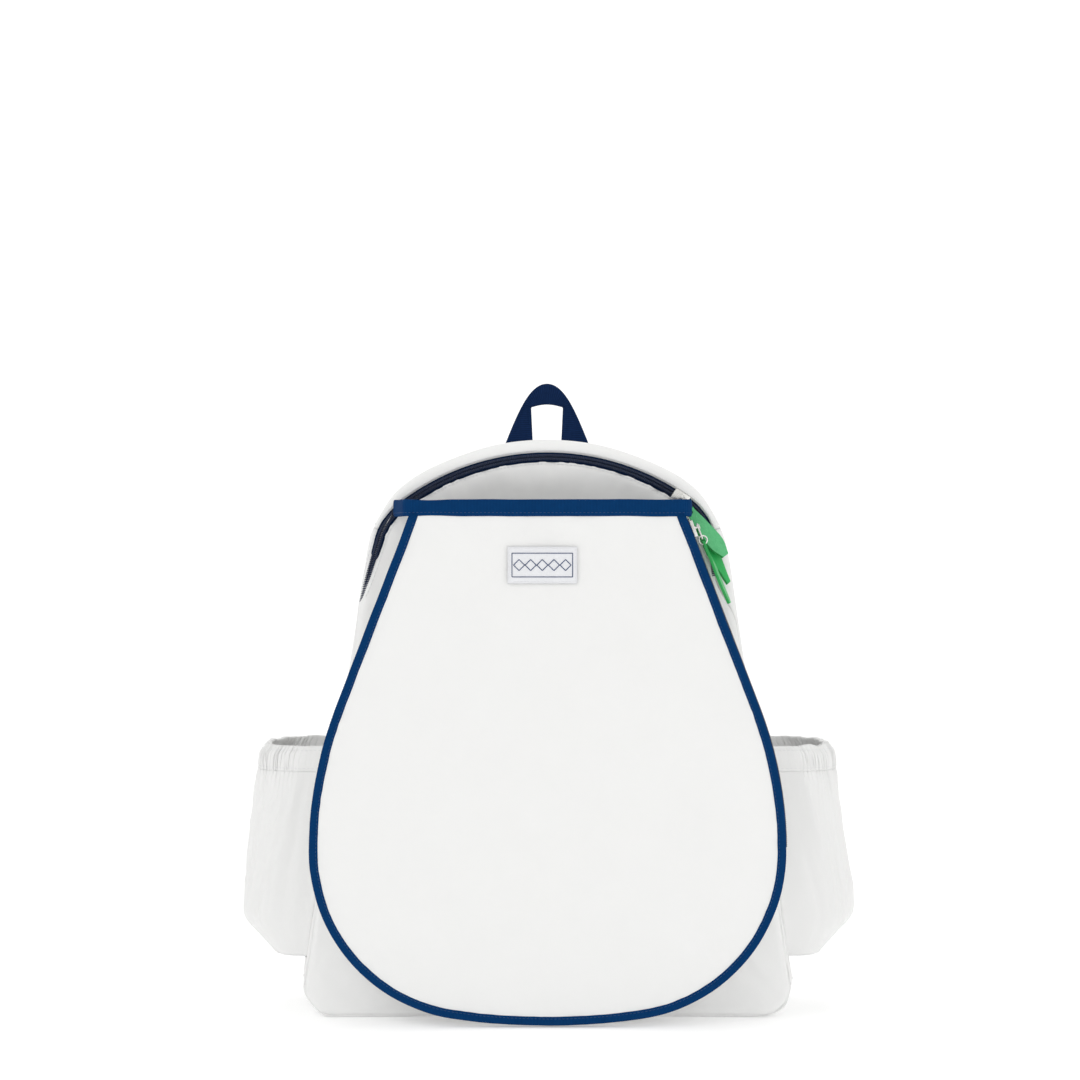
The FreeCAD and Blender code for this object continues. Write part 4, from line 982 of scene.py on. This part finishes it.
def pocket_zip():
    """The side zip of the racket pocket, facing outwards behind its bound edge."""
    middle = FOAM_Y + ZIP_WIDE / 2
    for name, side in (("front", -1), ("back", 1)):
        for kind, off, inset in (("tape", 0.0026, 0.0009), ("coil", COIL_OFF, 0.0002)):
            path, outwards, _ = pocket_line(inset, middle + side * off, 300,
                                            POCKET_ZIP_S + 0.001, POCKET_TOP_S - 0.001)
            across = facing(BACKWARDS, path)
            node = f"pocket_zip_{name}_{kind}"
            if kind == "tape":
                piece = sweep(node + "_cloth", path, across, outwards,
                              oval(0.0021, TAPE_THIN))
                finish_piece(piece, TAPE, nodes=[node])
            else:
                piece = teeth(node + "_turns", path, across, outwards)
                finish_piece(piece, COIL, nodes=[node])


def rounded_path(corners, radius, step):
    """A level path through a few corners, each turned with an arc."""
    corners = [np.array(c, float) for c in corners]
    points = [corners[0]]
    for before, corner, after in zip(corners, corners[1:], corners[2:]):
        come = (corner - before) / np.linalg.norm(corner - before)
        go = (after - corner) / np.linalg.norm(after - corner)
        turn = math.acos(float(np.clip(come @ go, -1, 1)))
        back = radius * math.tan(turn / 2)
        for t in np.linspace(0, 1, 9):
            ease = (1 - t) ** 2 * (corner - come * back) + 2 * t * (1 - t) * corner
            points.append(ease + t ** 2 * (corner + go * back))
    points.append(corners[-1])
    points = np.array(points)
    run = run_along(points)
    even = np.linspace(0, run[-1], int(run[-1] / step))
    return read_line(even, run, points), even


def mouth_binding():
    """Folded tape over the pocket's mouth; its ends run back along the gusset."""
    low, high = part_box("racket_pocket_binding")
    tall = high.z - low.z
    front = (low.y + high.y) / 2
    edge = pocket.place(POCKET_TOP_S)[0] + 0.002
    plan, run = rounded_path(((low.x, FRONT_Y - 0.005), (-edge, front), (edge, front),
                              (high.x - 0.004, FRONT_Y - 0.014)), 0.005, 0.0018)
    wave = 0.0008 * fold_noise(run, np.zeros(len(run)), 0.035, 31.0)
    lean = 0.0006 * fold_noise(run, np.zeros(len(run)), 0.022, 33.0)
    path = np.stack([plan[:, 0], plan[:, 1] + lean, low.z + tall / 2 + wave], axis=1)
    along = directions(np.gradient(plan, axis=0))
    out = np.stack([along[:, 1], -along[:, 0], np.zeros(len(run))], axis=1)
    up = facing(UPWARDS, path)
    pinch = 1 - 0.10 * np.exp(-((run - 0.052) / 0.012) ** 2)
    section = oval(tall / 2, 0.0021, 4.5, 28)
    sections = section[None, :, :] * np.stack([pinch, np.ones(len(run))], axis=1)[:, None, :]
    piece = sweep("racket_pocket_mouth_tape", path, up, out, sections)
    finish_piece(piece, BINDING, nodes=["racket_pocket_binding"])
    seam_path = path - up * (tall / 2 - 0.0028) * pinch[:, None] + out * 0.00195
    seam("racket_pocket_mouth_stitching", seam_path, out, "navy_binding", *NAVY_STITCH,
         thread=THREAD_NAVY)


# ----------------------------------------------------------------------- label


def label():
    """Woven label: satin ground, a thin navy frame and a row of plain diamonds."""
    low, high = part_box("label_patch")
    x0, x1, z0, z1 = low.x, high.x, low.z, high.z
    xs = np.linspace(x0, x1, 40)[:, None]
    zs = np.linspace(z0, z1, 24)[None, :]

    def face(x, z):
        """Depth of its slightly wavy face."""
        edge = np.minimum(np.minimum(x - x0, x1 - x), np.minimum(z - z0, z1 - z))
        swell = 0.0007 * smooth(edge / 0.006)
        wave = 0.0002 * np.sin((x - x0) * 2 * math.pi / 0.017) * smooth(edge / 0.003)
        return POCKET_Y - 0.0021 - 0.0012 * smooth((MOUTH_Z - z) / 0.06) - swell - wave

    def box(inset_x, inset_z):
        """Corners of a frame inside its edge, back to the first."""
        left, right, foot, head = x0 + inset_x, x1 - inset_x, z0 + inset_z, z1 - inset_z
        return (left, foot), (right, foot), (right, head), (left, head), (left, foot)

    points = np.stack(np.broadcast_arrays(xs, face(xs, zs), zs), axis=-1)
    piece = grid_piece("woven_label", points, pairs(xs, zs))
    sew(piece, (0, 0, 0.35), 0.0006, LABEL, "label_patch")
    shapes = [box(0.0035, 0.005)]
    middle_x, middle_z = (x0 + x1) / 2, (z0 + z1) / 2
    size = 0.0042       # half of a diamond
    for k in range(-2, 3):
        centre = middle_x + k * 2.1 * size
        shapes.append(((centre + size, middle_z), (centre, middle_z + size),
                       (centre - size, middle_z), (centre, middle_z - size),
                       (centre + size, middle_z)))
    verts = []
    faces = []
    for corners in shapes:
        for start, end in zip(corners, corners[1:]):
            path = np.array([(x, float(face(x, z)) - 0.00012, z)
                             for x, z in line_between(start, end)])
            add_thread(verts, faces, path, 0.00032)
    finish_piece(mesh_piece("label_motif", verts, faces), THREAD_NAVY)
    hem = 0.0012        # its edge to its stitching
    rim = np.clip(line_through(box(0, 0), 14), (x0 + hem, z0 + hem), (x1 - hem, z1 - hem))
    rim = rim[np.concatenate([[True], np.linalg.norm(np.diff(rim, axis=0), axis=1) > SAME_SPOT])]
    path = stand(rim, face(rim[:, 0], rim[:, 1]) - 0.0001)
    seam("label_stitching", path, facing(FORWARDS, path), "label", 0.0026, 0.0018, 0.0002)


def add_thread(verts, faces, path, radius):
    """A thin thread along a path on the front, added to a mesh being built."""
    rings = []
    for spot, way in zip(path, directions(np.gradient(path, axis=0))):
        side = np.cross(way, FORWARDS)
        side /= np.linalg.norm(side)
        rings.append(circle(spot, side, np.cross(side, way), radius))
    add_rings(verts, faces, rings)


# ---------------------------------------------------------------- side pockets


POUCH_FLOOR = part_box("side_pocket_right")[0].z + 0.009
POUCH_BELLY = POUCH_FLOOR + 0.03       # where the pocket is widest
POUCH_CORNER = 0.026                   # how far its floor's outer corner is cut back
POUCH_SLOPE = 0.137                    # how fast its side leans in above that


def side_reach(z):
    """Outer edge of a side pocket at a height: a slanting lower corner, then a swell."""
    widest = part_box("side_pocket_right")[1].x - 0.002
    ease = 0.012
    leaning = widest - POUCH_SLOPE * ease * np.logaddexp(0, (z - POUCH_BELLY - ease) / ease)
    slant = widest - POUCH_CORNER + (z - POUCH_FLOOR) * 0.95
    blend = 0.003
    return -blend * np.logaddexp(-leaning / blend, -slant / blend) + blend * 0.5


def pouch(angle, z, seed):
    """Points round a side pocket: angle runs from its front seam to its back seam."""
    low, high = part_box("side_pocket_right")
    middle = (low.y + high.y) / 2
    half = (high.y - low.y) / 2
    angle = np.clip(angle, 0, math.pi)
    root = body.half_width(z) - 0.0012
    wide = side_reach(z) - root
    power = 2 / 3.0
    out = np.abs(np.sin(angle)) ** power
    turn = -np.sign(np.cos(angle)) * np.abs(np.cos(angle)) ** power
    bulge = np.sin(math.pi * np.clip((z - low.z) / (high.z + 0.02 - low.z), 0, 1))
    free = np.abs(np.sin(angle)) ** 0.5
    run = (angle - math.pi / 2) * 0.11
    pleats = 0.0042 * fold_noise(run, z * 0.22 + run * 0.35, 0.017, seed)
    creases = 0.0022 * (0.45 - np.abs(fold_noise(run + 0.5 * z, z * 0.7, 0.024, seed + 7)))
    sag = 0.0018 * fold_noise(run, z, 0.05, seed + 3)
    lift = (pleats * smooth((z - low.z) / 0.05) + creases + sag) * free * (0.45 + 0.55 * bulge)
    x = root + wide * out + lift * out
    y = middle + half * turn + lift * turn * 0.6
    return np.stack(np.broadcast_arrays(x, y, z), axis=-1)


def side_pocket(seed, side):
    """A bottle pocket: gathered pouch with a soft elastic mouth."""
    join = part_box("side_elastic_right")[0].z
    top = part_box("side_elastic_right")[1].z
    share = np.linspace(0, 1, 190)
    angle = math.pi * (share - 0.12 * np.sin(4 * math.pi * share) / (4 * math.pi))[:, None]
    z = (POUCH_FLOOR + (join - POUCH_FLOOR) * np.linspace(0, 1, 110) ** 0.85)[None, :]
    run = (angle - math.pi / 2) * 0.11

    def gathers(z):
        """Small folds drawn in by the elastic, fading down the cloth below it."""
        wander = 3 * fold_noise(run, z * 0.4, 0.02, seed)
        deep = 0.0013 * np.exp(-np.maximum(join - z, 0) / 0.015)
        stitched = -0.0007 * np.exp(-((join - z) / 0.003) ** 2)
        free = np.abs(np.sin(angle)) ** 0.5
        return (deep * np.sin(run * 2 * math.pi / 0.0083 + wander) + stitched) * free

    points = pouch(angle, z, seed)
    points[..., 0] += gathers(z)
    pouch_piece = grid_piece(f"side_pocket_fabric_{side}", points, pairs(run, z))
    close_floor(pouch_piece, points[:, 0, :])
    face_outwards(pouch_piece, (0.19, 0.008, 0.12))
    z = np.linspace(join, top, 16)[None, :]
    t = (z - join) / (top - join)
    points = pouch(angle, z, seed)
    rim = 0.0016 * fold_noise(run, np.zeros_like(run), 0.03, seed + 20) * t
    drawn = 0.0035 * smooth((t - 0.6) / 0.4) * np.abs(np.sin(angle)) ** 0.5
    points[..., 0] += gathers(z) * (1 + 0.4 * np.sin(math.pi * t)) - drawn
    points[..., 2] += rim
    elastic_piece = grid_piece(f"side_pocket_elastic_{side}", points, pairs(run, z))
    face_outwards(elastic_piece, (0.19, 0.008, 0.2))
    for piece, node, slot, thick, flat in (
            (pouch_piece, "side_pocket", "white_fabric", 0.0010, (0.30, 0.21)),
            (elastic_piece, "side_elastic", "elastic", 0.0018, (0.26, 0.024))):
        if side == "left":
            swap_sides(piece)
        thicken(piece, thick)
        finish_piece(piece, WHITE_THIN, nodes=[f"{node}_{side}"])
    sign = 1 if side == "right" else -1
    for name, height in (("hem", top - 0.0035), ("seam", join + 0.0025)):
        turn = np.linspace(0.06, math.pi - 0.06, 150)
        path = pouch(turn, np.full_like(turn, height), seed)
        path[:, 0] += 0.0012 * np.sin(turn) ** 0.5
        out = np.stack([np.sin(turn), -0.9 * np.cos(turn), np.zeros_like(turn)], axis=1)
        path[:, 0] *= sign
        out[:, 0] *= sign
        seam_piece = stitches(f"side_pocket_{name}_{side}", path, out, 0.0034, 0.0022, 0.0002)
        finish_piece(seam_piece, THREAD_WHITE)


def close_floor(piece, rim):
    """Give a pouch its bottom, from its lowest line to the casing."""
    low_z = float(rim[:, 2].min())
    with editing(piece) as bm:
        layer = bm.verts.layers.float_vector.get("cloth")
        edge = [v for v in bm.verts if abs(v.co.z - low_z) < SAME_SPOT]
        edge.sort(key=lambda v: v.co.y)
        root = min(v.co.x for v in edge) - 0.0015
        inner = []
        for v in edge:
            spot = bm.verts.new((root, v.co.y, v.co.z))
            spot[layer] = v[layer]
            inner.append(spot)
        for k in range(len(edge) - 1):
            if max(edge[k].co.x, edge[k + 1].co.x) - root > 1e-5:
                bm.faces.new((edge[k], edge[k + 1], inner[k + 1], inner[k]))
        bmesh.ops.recalc_face_normals(bm, faces=bm.faces)
        for face in bm.faces:
            face.smooth = True


# ------------------------------------------------------------- back and straps


CHANNEL_X = 0.055               # upright channels, each side of the spine
CHANNEL_ROWS = ((0.13, 0.178), (0.27, 0.157))       # height of a level one, and its far end
CHANNEL_HALF = 0.0035


def back_panel():
    """Padded back with sewn channels, its foam and its lining."""
    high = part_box("back_panel")[1]
    s = np.linspace(0, body.length, 420, endpoint=False)[:, None]
    rim = body.place(s[:, 0], 0.0018 - slack(s, np.zeros_like(s))[:, 0])
    centre = np.array([0.0, 0.20])
    t = (np.linspace(0, 1, 76) ** 1.3)[None, :, None]
    flat = rim[:, None, :] + (centre - rim)[:, None, :] * t
    depth = np.linalg.norm((centre - rim)[:, None, :] * t, axis=-1)
    x, z = flat[..., 0], flat[..., 1]
    channels = np.exp(-((np.abs(x) - CHANNEL_X) / CHANNEL_HALF) ** 2)
    for row, _ in CHANNEL_ROWS:
        channels += np.exp(-((z - row) / CHANNEL_HALF) ** 2) * (np.abs(x) > CHANNEL_X)
    swell = 0.0052 * smooth(depth / 0.03) * (1 - 0.85 * np.clip(channels, 0, 1))
    soft = 0.0008 * fold_noise(x, z, 0.06, 41.0)
    flat_spot = smooth((z - 0.385) / 0.02) + np.exp(-((z - 0.03) / 0.03) ** 2)
    y = high.y - 0.0048 + (swell + soft) * (1 - 0.6 * np.clip(flat_spot, 0, 1))
    y += 0.0032 * np.exp(-(depth / 0.01) ** 2)
    layers = (
        ("back_fabric", 0.0, WHITE, "back_fabric", "back_panel", 0.0012),
        ("back_padding", -0.0022, FOAM, "foam", "back_foam_pad", 0.004),
        ("back_inner_lining", -0.0075, LINING, "lining", "back_lining", 0.0008),
    )
    for name, shift, material, slot, node, thickness in layers:
        piece = round_panel(name, stand(flat, y + shift))
        sew(piece, MIDDLE, thickness, material, node)
    for side, sign in (("left", -1), ("right", 1)):
        lines = [(side, (sign * CHANNEL_X, 0.02), (sign * CHANNEL_X, 0.40))]
        for level, (row, end) in zip(("low", "high"), CHANNEL_ROWS):
            ends = sorted((sign * CHANNEL_X, sign * end))
            lines.append((f"{level}_{side}", (ends[0], row), (ends[1], row)))
        for name, start, end in lines:
            spots = np.array(line_between(start, end, STITCH_SPOTS))
            sewn_line(f"back_channel_{name}", spots, high.y - 0.0038, "back_fabric")


def sewn_line(name, spots, y, slot):
    """Stitches on the back through spots seen from behind."""
    path = stand(spots, y)
    seam(name, path, facing(BACKWARDS, path), slot)


def base_stiffener():
    piece = soften("base_stiffener", "base_board", 0.001)
    finish_piece(piece, BOARD, nodes=["base_board"])


def seam_round(name, corners, y, inset, slot):
    """Stitching just inside the edge of a flat sewn patch on the back."""
    corners = np.array(corners, float)
    centre = corners.mean(axis=0)
    corners = centre + (corners - centre) * (1 - inset / np.abs(corners - centre).max())
    spots = line_through(np.vstack([corners, corners[:1]]), 40)
    sewn_line(name, spots, y, slot)


def yoke():
    """Reinforced patch over the ends of the handle and straps."""
    low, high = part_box("strap_yoke")
    corner = 0.012      # how much of its upper corners is cut off
    xs = np.linspace(low.x, high.x, 70)[:, None]
    t = np.linspace(0, 1, 22)[None, :]
    cut = corner * np.clip((np.abs(xs) - (high.x - corner)) / corner, 0, 1)
    z = low.z + (high.z - cut - low.z) * t
    edge = np.minimum(np.minimum(xs - low.x, high.x - xs), np.minimum(z - low.z, high.z - cut - z))
    under_straps = np.exp(-((np.abs(xs) - 0.04) / 0.02) ** 2)
    swell = 0.0016 * smooth(edge / 0.004) + 0.0008 * under_straps * smooth(edge / 0.01)
    y = high.y - 0.0016 + swell - 0.0011 * np.exp(-((edge - 0.005) / 0.0014) ** 2)
    points = np.stack(np.broadcast_arrays(xs, y, z), axis=-1)
    piece = grid_piece("strap_yoke_fabric", points, pairs(xs, z))
    sew(piece, (0, 0, 0.4), 0.0015, WHITE, "strap_yoke")
    corners = ((low.x, low.z), (high.x, low.z), (high.x, high.z - corner),
               (high.x - corner, high.z), (low.x + corner, high.z), (low.x, high.z - corner))
    seam_round("strap_yoke_stitching", corners, high.y - 0.0007, 0.005, "white_fabric")


HANDLE_FOOT = 0.040     # half of the handle's width at its foot
HANDLE_PROUD = 0.0014   # how far its soft top stands above its pattern
GAP_FOOT = 0.0110       # half of its gap at the foot
GAP_HEAD = 0.0130       # and under the top
GAP_TOP = 0.4812        # height of the gap's top


def handle():
    """Grab handle: one webbing folded over at the top, its legs spread to the yoke."""
    low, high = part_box("grab_handle")
    tall = high.z + HANDLE_PROUD - low.z
    share = np.linspace(0, 1, 46)
    leg = np.clip(share * 2, 0, 1)
    top = np.clip(share * 2 - 1, 0, 1)
    outer_x, outer_z = bezier([(1, 0), (0.675, 0.49), (0.425, 1), (0, 1)], 46).T
    inner_x = (GAP_FOOT + (GAP_HEAD - GAP_FOOT) * leg) * (1 - top)
    inner_z = (GAP_TOP - low.z) * (leg * 0.95 + 0.05 * np.sin(top * math.pi / 2))

    def both_sides(across, up):
        """One side's line, from foot to top, and its mirror image down the other side."""
        half = np.stack([-across, low.z + up], axis=1)
        return np.vstack([half, half[-2::-1] * (-1, 1)])

    count = 2 * len(share) - 1
    turn = np.linspace(0, math.pi, count)
    outer = both_sides(outer_x * HANDLE_FOOT, outer_z * tall)
    inner = both_sides(inner_x, inner_z)
    middle = (outer + inner) / 2
    side = (outer - inner) / 2
    half = np.linalg.norm(side, axis=1)
    path = stand(middle, (low.y + high.y) / 2)
    shape = oval(1.0, 1.0, 5.0, 36)
    fold = 0.0014 + 0.0012 * np.exp(-((turn - math.pi / 2) / 0.5) ** 2)
    crease = 0.00035 * np.cos(shape[None, :, 0] * 2.5 * math.pi)
    sections = pairs(shape[None, :, 0] * half[:, None],
                     shape[None, :, 1] * (fold[:, None] + crease))
    piece = sweep("grab_handle_webbing", path, stand(directions(side), 0),
                  facing(FORWARDS, path), sections)
    stand_for(piece, WEBBING, "grab_handle")
    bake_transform(piece)


def stand_for(piece, material, node):
    paint(piece, material)
    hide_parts(node)


def simulate_padding(piece, voxel, cap, pressure):
    """Swell a padded piece as cloth under pressure, and keep the result."""
    remesh = piece.modifiers.new("remesh", "REMESH")
    remesh.mode = "VOXEL"
    remesh.voxel_size = voxel
    apply_modifiers(piece)
    rest = np.array([v.co for v in piece.data.vertices])
    cloth = piece.modifiers.new("cloth", "CLOTH")
    cloth.settings.effector_weights.gravity = 0
    cloth.settings.use_pressure = True
    cloth.settings.uniform_pressure_force = pressure
    cloth.settings.quality = 5
    scene = bpy.context.scene
    for number in range(1, 21):
        scene.frame_set(number)
    apply_modifiers(piece)
    scene.frame_set(1)
    moved = np.array([v.co for v in piece.data.vertices]) - rest
    far = np.linalg.norm(moved, axis=1)
    share = np.where(far > cap, cap / np.maximum(far, 1e-9), 1)
    spots = rest + moved * share[:, None]
    piece.data.vertices.foreach_set("co", spots.ravel())
    smoothing = piece.modifiers.new("relax", "SMOOTH")
    smoothing.factor = 0.5
    smoothing.iterations = 4
    apply_modifiers(piece)
    piece.data.update()


def apply_modifiers(piece):
    """Replace a piece's mesh with what its modifiers make of it."""
    graph = bpy.context.evaluated_depsgraph_get()
    graph.update()
    made = bpy.data.meshes.new_from_object(piece.evaluated_get(graph))
    piece.modifiers.clear()
    piece.data = made


def shoulder_straps():
    """Padded straps, swollen by simulation, with an edge seam pressed in."""
    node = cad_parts["shoulder_strap_right"]
    piece = new_object("strap_padding_right", node.data.copy())
    centre = sum((v.co for v in piece.data.vertices), Vector()) / len(piece.data.vertices)
    for v in piece.data.vertices:
        v.co.x = centre.x + (v.co.x - centre.x) * 0.985
    simulate_padding(piece, 0.0042, 0.0035, 4.0)
    press_edges(piece)
    finer = piece.modifiers.new("finer", "SUBSURF")
    finer.levels = 1
    finer.render_levels = 1
    apply_modifiers(piece)
    shade_smooth(piece)
    left = mirror_copy("strap_padding_left", piece)
    for strap, side in ((piece, "right"), (left, "left")):
        stand_for(strap, WHITE_SOLID, f"shoulder_strap_{side}")
        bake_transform(strap)


def press_edges(piece):
    """Pull in the padding along the seam that runs inside the strap's edge."""
    mesh = piece.data
    co = np.array([v.co for v in mesh.vertices])
    sewn = 0.0055       # how far inside the edge the seam runs
    bands = np.round(co[:, 2] / 0.006).astype(int)
    for band in np.unique(bands):
        near = np.abs(bands - band) <= 1
        here = bands == band
        x0, x1 = co[near, 0].min(), co[near, 0].max()
        middle_y = (co[near, 1].min() + co[near, 1].max()) / 2
        edge = np.minimum(co[here, 0] - x0, x1 - co[here, 0])
        press = 1 - 0.42 * np.exp(-((edge - sewn) / 0.0022) ** 2)
        thin = np.where(edge < sewn, 0.62, press)
        co[here, 1] = middle_y + (co[here, 1] - middle_y) * thin
    mesh.vertices.foreach_set("co", co.ravel())
    mesh.update()


def webbing_strips():
    """Lower webbing, its loose tail and the loop at the buckle."""
    lock_low, lock_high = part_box("ladder_lock_right")
    web_low, web_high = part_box("strap_webbing_right")
    tail_low, tail_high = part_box("strap_tail_right")
    middle = (lock_low.x + lock_high.x) / 2
    half = 0.0125       # half of its width
    thick = 0.0008      # half of its thickness
    y = (web_low.y + web_high.y) / 2
    runs = {
        "strap_webbing": bezier([(middle, y + 0.0015, lock_low.z + 0.006), (middle, y, 0.12),
                                 (0.130, y, 0.082), (0.152, y, web_low.z + 0.004)], 60),
        "strap_tail": bezier([(middle, tail_high.y, lock_low.z + 0.002),
                              (middle + 0.001, tail_high.y + 0.004, 0.12),
                              (middle - 0.003, tail_high.y - 0.001, 0.10),
                              (middle - 0.002, tail_high.y + 0.001, tail_low.z)], 50),
    }
    for node, path in runs.items():
        along = directions(np.gradient(path, axis=0))
        across = directions(np.cross(along, BACKWARDS))
        out = np.cross(across, along)
        right = sweep(f"{node}_cloth_right", path, across, out, oval(half, thick, 6.0, 28))
        left = mirror_copy(f"{node}_cloth_left", right)
        for piece, side in ((right, "right"), (left, "left")):
            stand_for(piece, WEBBING, f"{node}_{side}")
            if node == "strap_webbing":
                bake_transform(piece)
            else:
                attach(piece, f"strap_{side}")
    for side in ("right", "left"):
        loop = soften(f"buckle_loop_webbing_{side}", f"buckle_loop_{side}", 0.0005)
        finish_piece(loop, WEBBING_SOLID, f"strap_{side}", [f"buckle_loop_{side}"])
        lock = soften(f"ladder_lock_frame_{side}", f"ladder_lock_{side}", 0.0011, 3)
        finish_piece(lock, BUCKLE, f"strap_{side}", [f"ladder_lock_{side}"])
        wing = soften(f"strap_anchor_wing_{side}", f"strap_anchor_{side}", 0.0010, 3)
        finish_piece(wing, WHITE_SOLID, "root", [f"strap_anchor_{side}"])


def anchor_stitching():
    """The box of stitches that holds the webbing to its anchor."""
    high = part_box("strap_webbing_right")[1]
    box = ((0.1415, 0.049), (0.1615, 0.055), (0.157, 0.062), (0.137, 0.056))
    for side, sign in (("right", 1), ("left", -1)):
        corners = [(sign * x, z) for x, z in box]
        spots = line_through(corners + [corners[0], corners[2]], 20)
        path = stand(spots, high.y + 0.0001)
        seam(f"strap_anchor_stitching_{side}", path, facing(BACKWARDS, path), "navy_webbing",
             0.0026, 0.0018, thread=THREAD_NAVY)


# ------------------------------------------------------------- sliders and pulls


def hardware():
    """Sliders, links and rings: plated metal with softened edges."""
    rides = {
        "main_slider": "main_slider", "main_pull_link": "main_link",
        "pocket_slider": "pocket_slider", "pocket_pull_link": "pocket_link",
    }
    for node, rider in rides.items():
        piece = soften(node + "_metal", node, 0.00025, 2)
        finish_piece(piece, METAL, rider, [node])
    for node in ("main_pull_ring", "pocket_pull_ring"):
        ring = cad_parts[node]
        paint(ring, METAL)
        shade_smooth(ring)


LEAF_STEP = 0.0025      # from one cut across a leaf to the next
LEAF_CLEAR = 0.010      # uncut stretch at its ring


def leaf_copy(name, node, ring):
    """A copy of a CAD leaf cut across into short lengths, and its own directions."""
    piece = new_object(name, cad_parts[node].data.copy())
    low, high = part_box(ring)
    start = np.array((low + high) / 2)
    spots = np.array([v.co for v in piece.data.vertices])
    along = spots[np.argmax(np.linalg.norm(spots - start, axis=1))] - start
    normal = np.array(max(piece.data.polygons, key=lambda p: p.area).normal)
    normal *= 1 if normal[0] * 10 - normal[1] > 0 else -1       # away from the bag
    along -= normal * (along @ normal)
    far = np.linalg.norm(along)
    along /= far
    side = np.cross(normal, along)
    wide = (spots - start) @ side
    start = start + side * (wide.max() + wide.min()) / 2
    with editing(piece) as bm:
        plain_faces(bm)
        for step in np.arange(LEAF_CLEAR, far, LEAF_STEP):
            geom = bm.verts[:] + bm.edges[:] + bm.faces[:]
            bmesh.ops.bisect_plane(bm, geom=geom, plane_co=start + along * step, plane_no=along)
    return piece, start, along, side, normal, far


def leaf_turn(share, turn, tip_turn):
    """How far a pull is twisted, in radians, at a share of its length."""
    return np.radians(turn * smooth((share - 0.05) / 0.4)
                      + (tip_turn - turn) * smooth((share - 0.6) / 0.4))


def leaves():
    """Leather pulls, twisted as they hang: grained faces between painted edges."""
    pulls = (
        # node, body, face, twist, twist at the tip, droop, share of length, share of width
        ("main_pull_front_leaf", "main_pull", GREEN_FACE, -34, -36, -1, 0.94, 0.86),
        ("main_pull_back_leaf", "main_pull", GREEN_BACK, -34, -48, -8, 1.0, 0.62),
        ("pocket_pull_leaf", "pocket_pull", GREEN_BACK, 10, 14, 0, 0.92, 0.78),
    )
    for node, rider, face, turn, tip_turn, droop, long_share, wide_share in pulls:
        piece, start, along, side, normal, far = leaf_copy(node + "_leather", node,
                                                           rider + "_ring")
        spots = np.array([v.co for v in piece.data.vertices]) - start
        run = spots @ along
        thick = spots @ normal
        share = np.clip(run / far, 0, 1)
        wide = (spots @ side) * wide_share * (0.84 + 0.16 * smooth(share / 0.6))
        angle = leaf_turn(share, turn, tip_turn)
        clear = np.abs(wide).max() * np.abs(np.sin(angle)) * 0.8
        across = wide * np.cos(angle) - thick * np.sin(angle)
        across += run * math.tan(math.radians(droop)) * smooth(share / 0.3)
        out = wide * np.sin(angle) + thick * np.cos(angle) + clear
        spots = (start + np.outer(run * long_share, along) + np.outer(across, side)
                 + np.outer(out, normal))
        piece.data.vertices.foreach_set("co", spots.ravel())
        finish_piece(piece, face, rider, [node])
        round_edges(piece, 0.00045, 3, 50)
        piece.data.materials.append(GREEN_EDGE)
        for polygon in piece.data.polygons:
            share = (np.array(polygon.center) - start) @ along / (far * long_share)
            level = leaf_turn(share, turn, tip_turn)
            straight_out = normal * math.cos(level) - side * math.sin(level)
            if abs(np.array(polygon.normal) @ straight_out) < 0.75:
                polygon.material_index = 1


# -------------------------------------------------------------- stage and camera


def stage():
    """A pale floor that curves up into a backdrop, and soft lights."""
    near, depth = -3.0, 2.4
    half_wide, tall = 5.0, 4.0
    bend = 0.6
    profile = [(near, 0.0), (depth - bend, 0.0)]
    profile += [(depth - bend + bend * math.sin(a), bend - bend * math.cos(a))
                for a in np.linspace(0.1, math.pi / 2, 12)]
    profile.append((depth, tall))
    points = np.array([[(x, y, z) for x in (-half_wide, half_wide)] for y, z in profile])
    points[..., 2] -= 0.0001        # the bag stands on it without touching
    floor = grid_piece("floor", points, None)
    finish = Finish("pale_floor")
    finish.set(Base_Color=(0.95, 0.95, 0.95, 1), Roughness=0.9, Specular_IOR_Level=0.1,
               Emission_Color=(1, 1, 1, 1), Emission_Strength=0.20)
    paint(floor, finish.material)
    world = bpy.data.worlds.new("studio")
    world.use_nodes = True
    sky = world.node_tree.nodes["Background"].inputs
    sky["Color"].default_value = (1, 1, 0.99, 1)
    sky["Strength"].default_value = 0.76
    bpy.context.scene.world = world
    bpy.context.scene.view_settings.view_transform = "Standard"
    lights = (
        ("key", (-1.3, -1.6, 1.9), 1.0, 8),
        ("fill", (1.7, -1.5, 1.0), 1.8, 6),
        ("top", (0.0, 0.3, 2.3), 1.6, 6),
    )
    aimed_at = Vector((0, 0, 0.22))
    for name, spot, size, power in lights:
        data = bpy.data.lights.new(name, "AREA")
        data.size = size
        data.energy = power
        lamp = new_object(name, data)
        lamp.location = spot
        lamp.rotation_euler = (aimed_at - Vector(spot)).to_track_quat("-Z", "Y").to_euler()


def camera():
    """The picture's own view: level, a little over two metres in front."""
    data = bpy.data.cameras.new("camera")
    data.lens = 88.7            # millimetres, as is the sensor
    data.sensor_width = 36
    view = new_object("camera", data)
    view.location = (-0.00575, -2.115, 0.370)
    view.rotation_euler = (math.pi / 2, 0, 0)
    bpy.context.scene.camera = view


stage()
camera()
main_casing()
front_panel()
main_zip()
casing_seams()
racket_panel()
racket_piping()
racket_gusset()
pocket_zip()
mouth_binding()
label()
side_pocket(51.0, "right")
side_pocket(67.0, "left")
back_panel()
base_stiffener()
yoke()
handle()
shoulder_straps()
webbing_strips()
anchor_stitching()
hardware()
leaves()
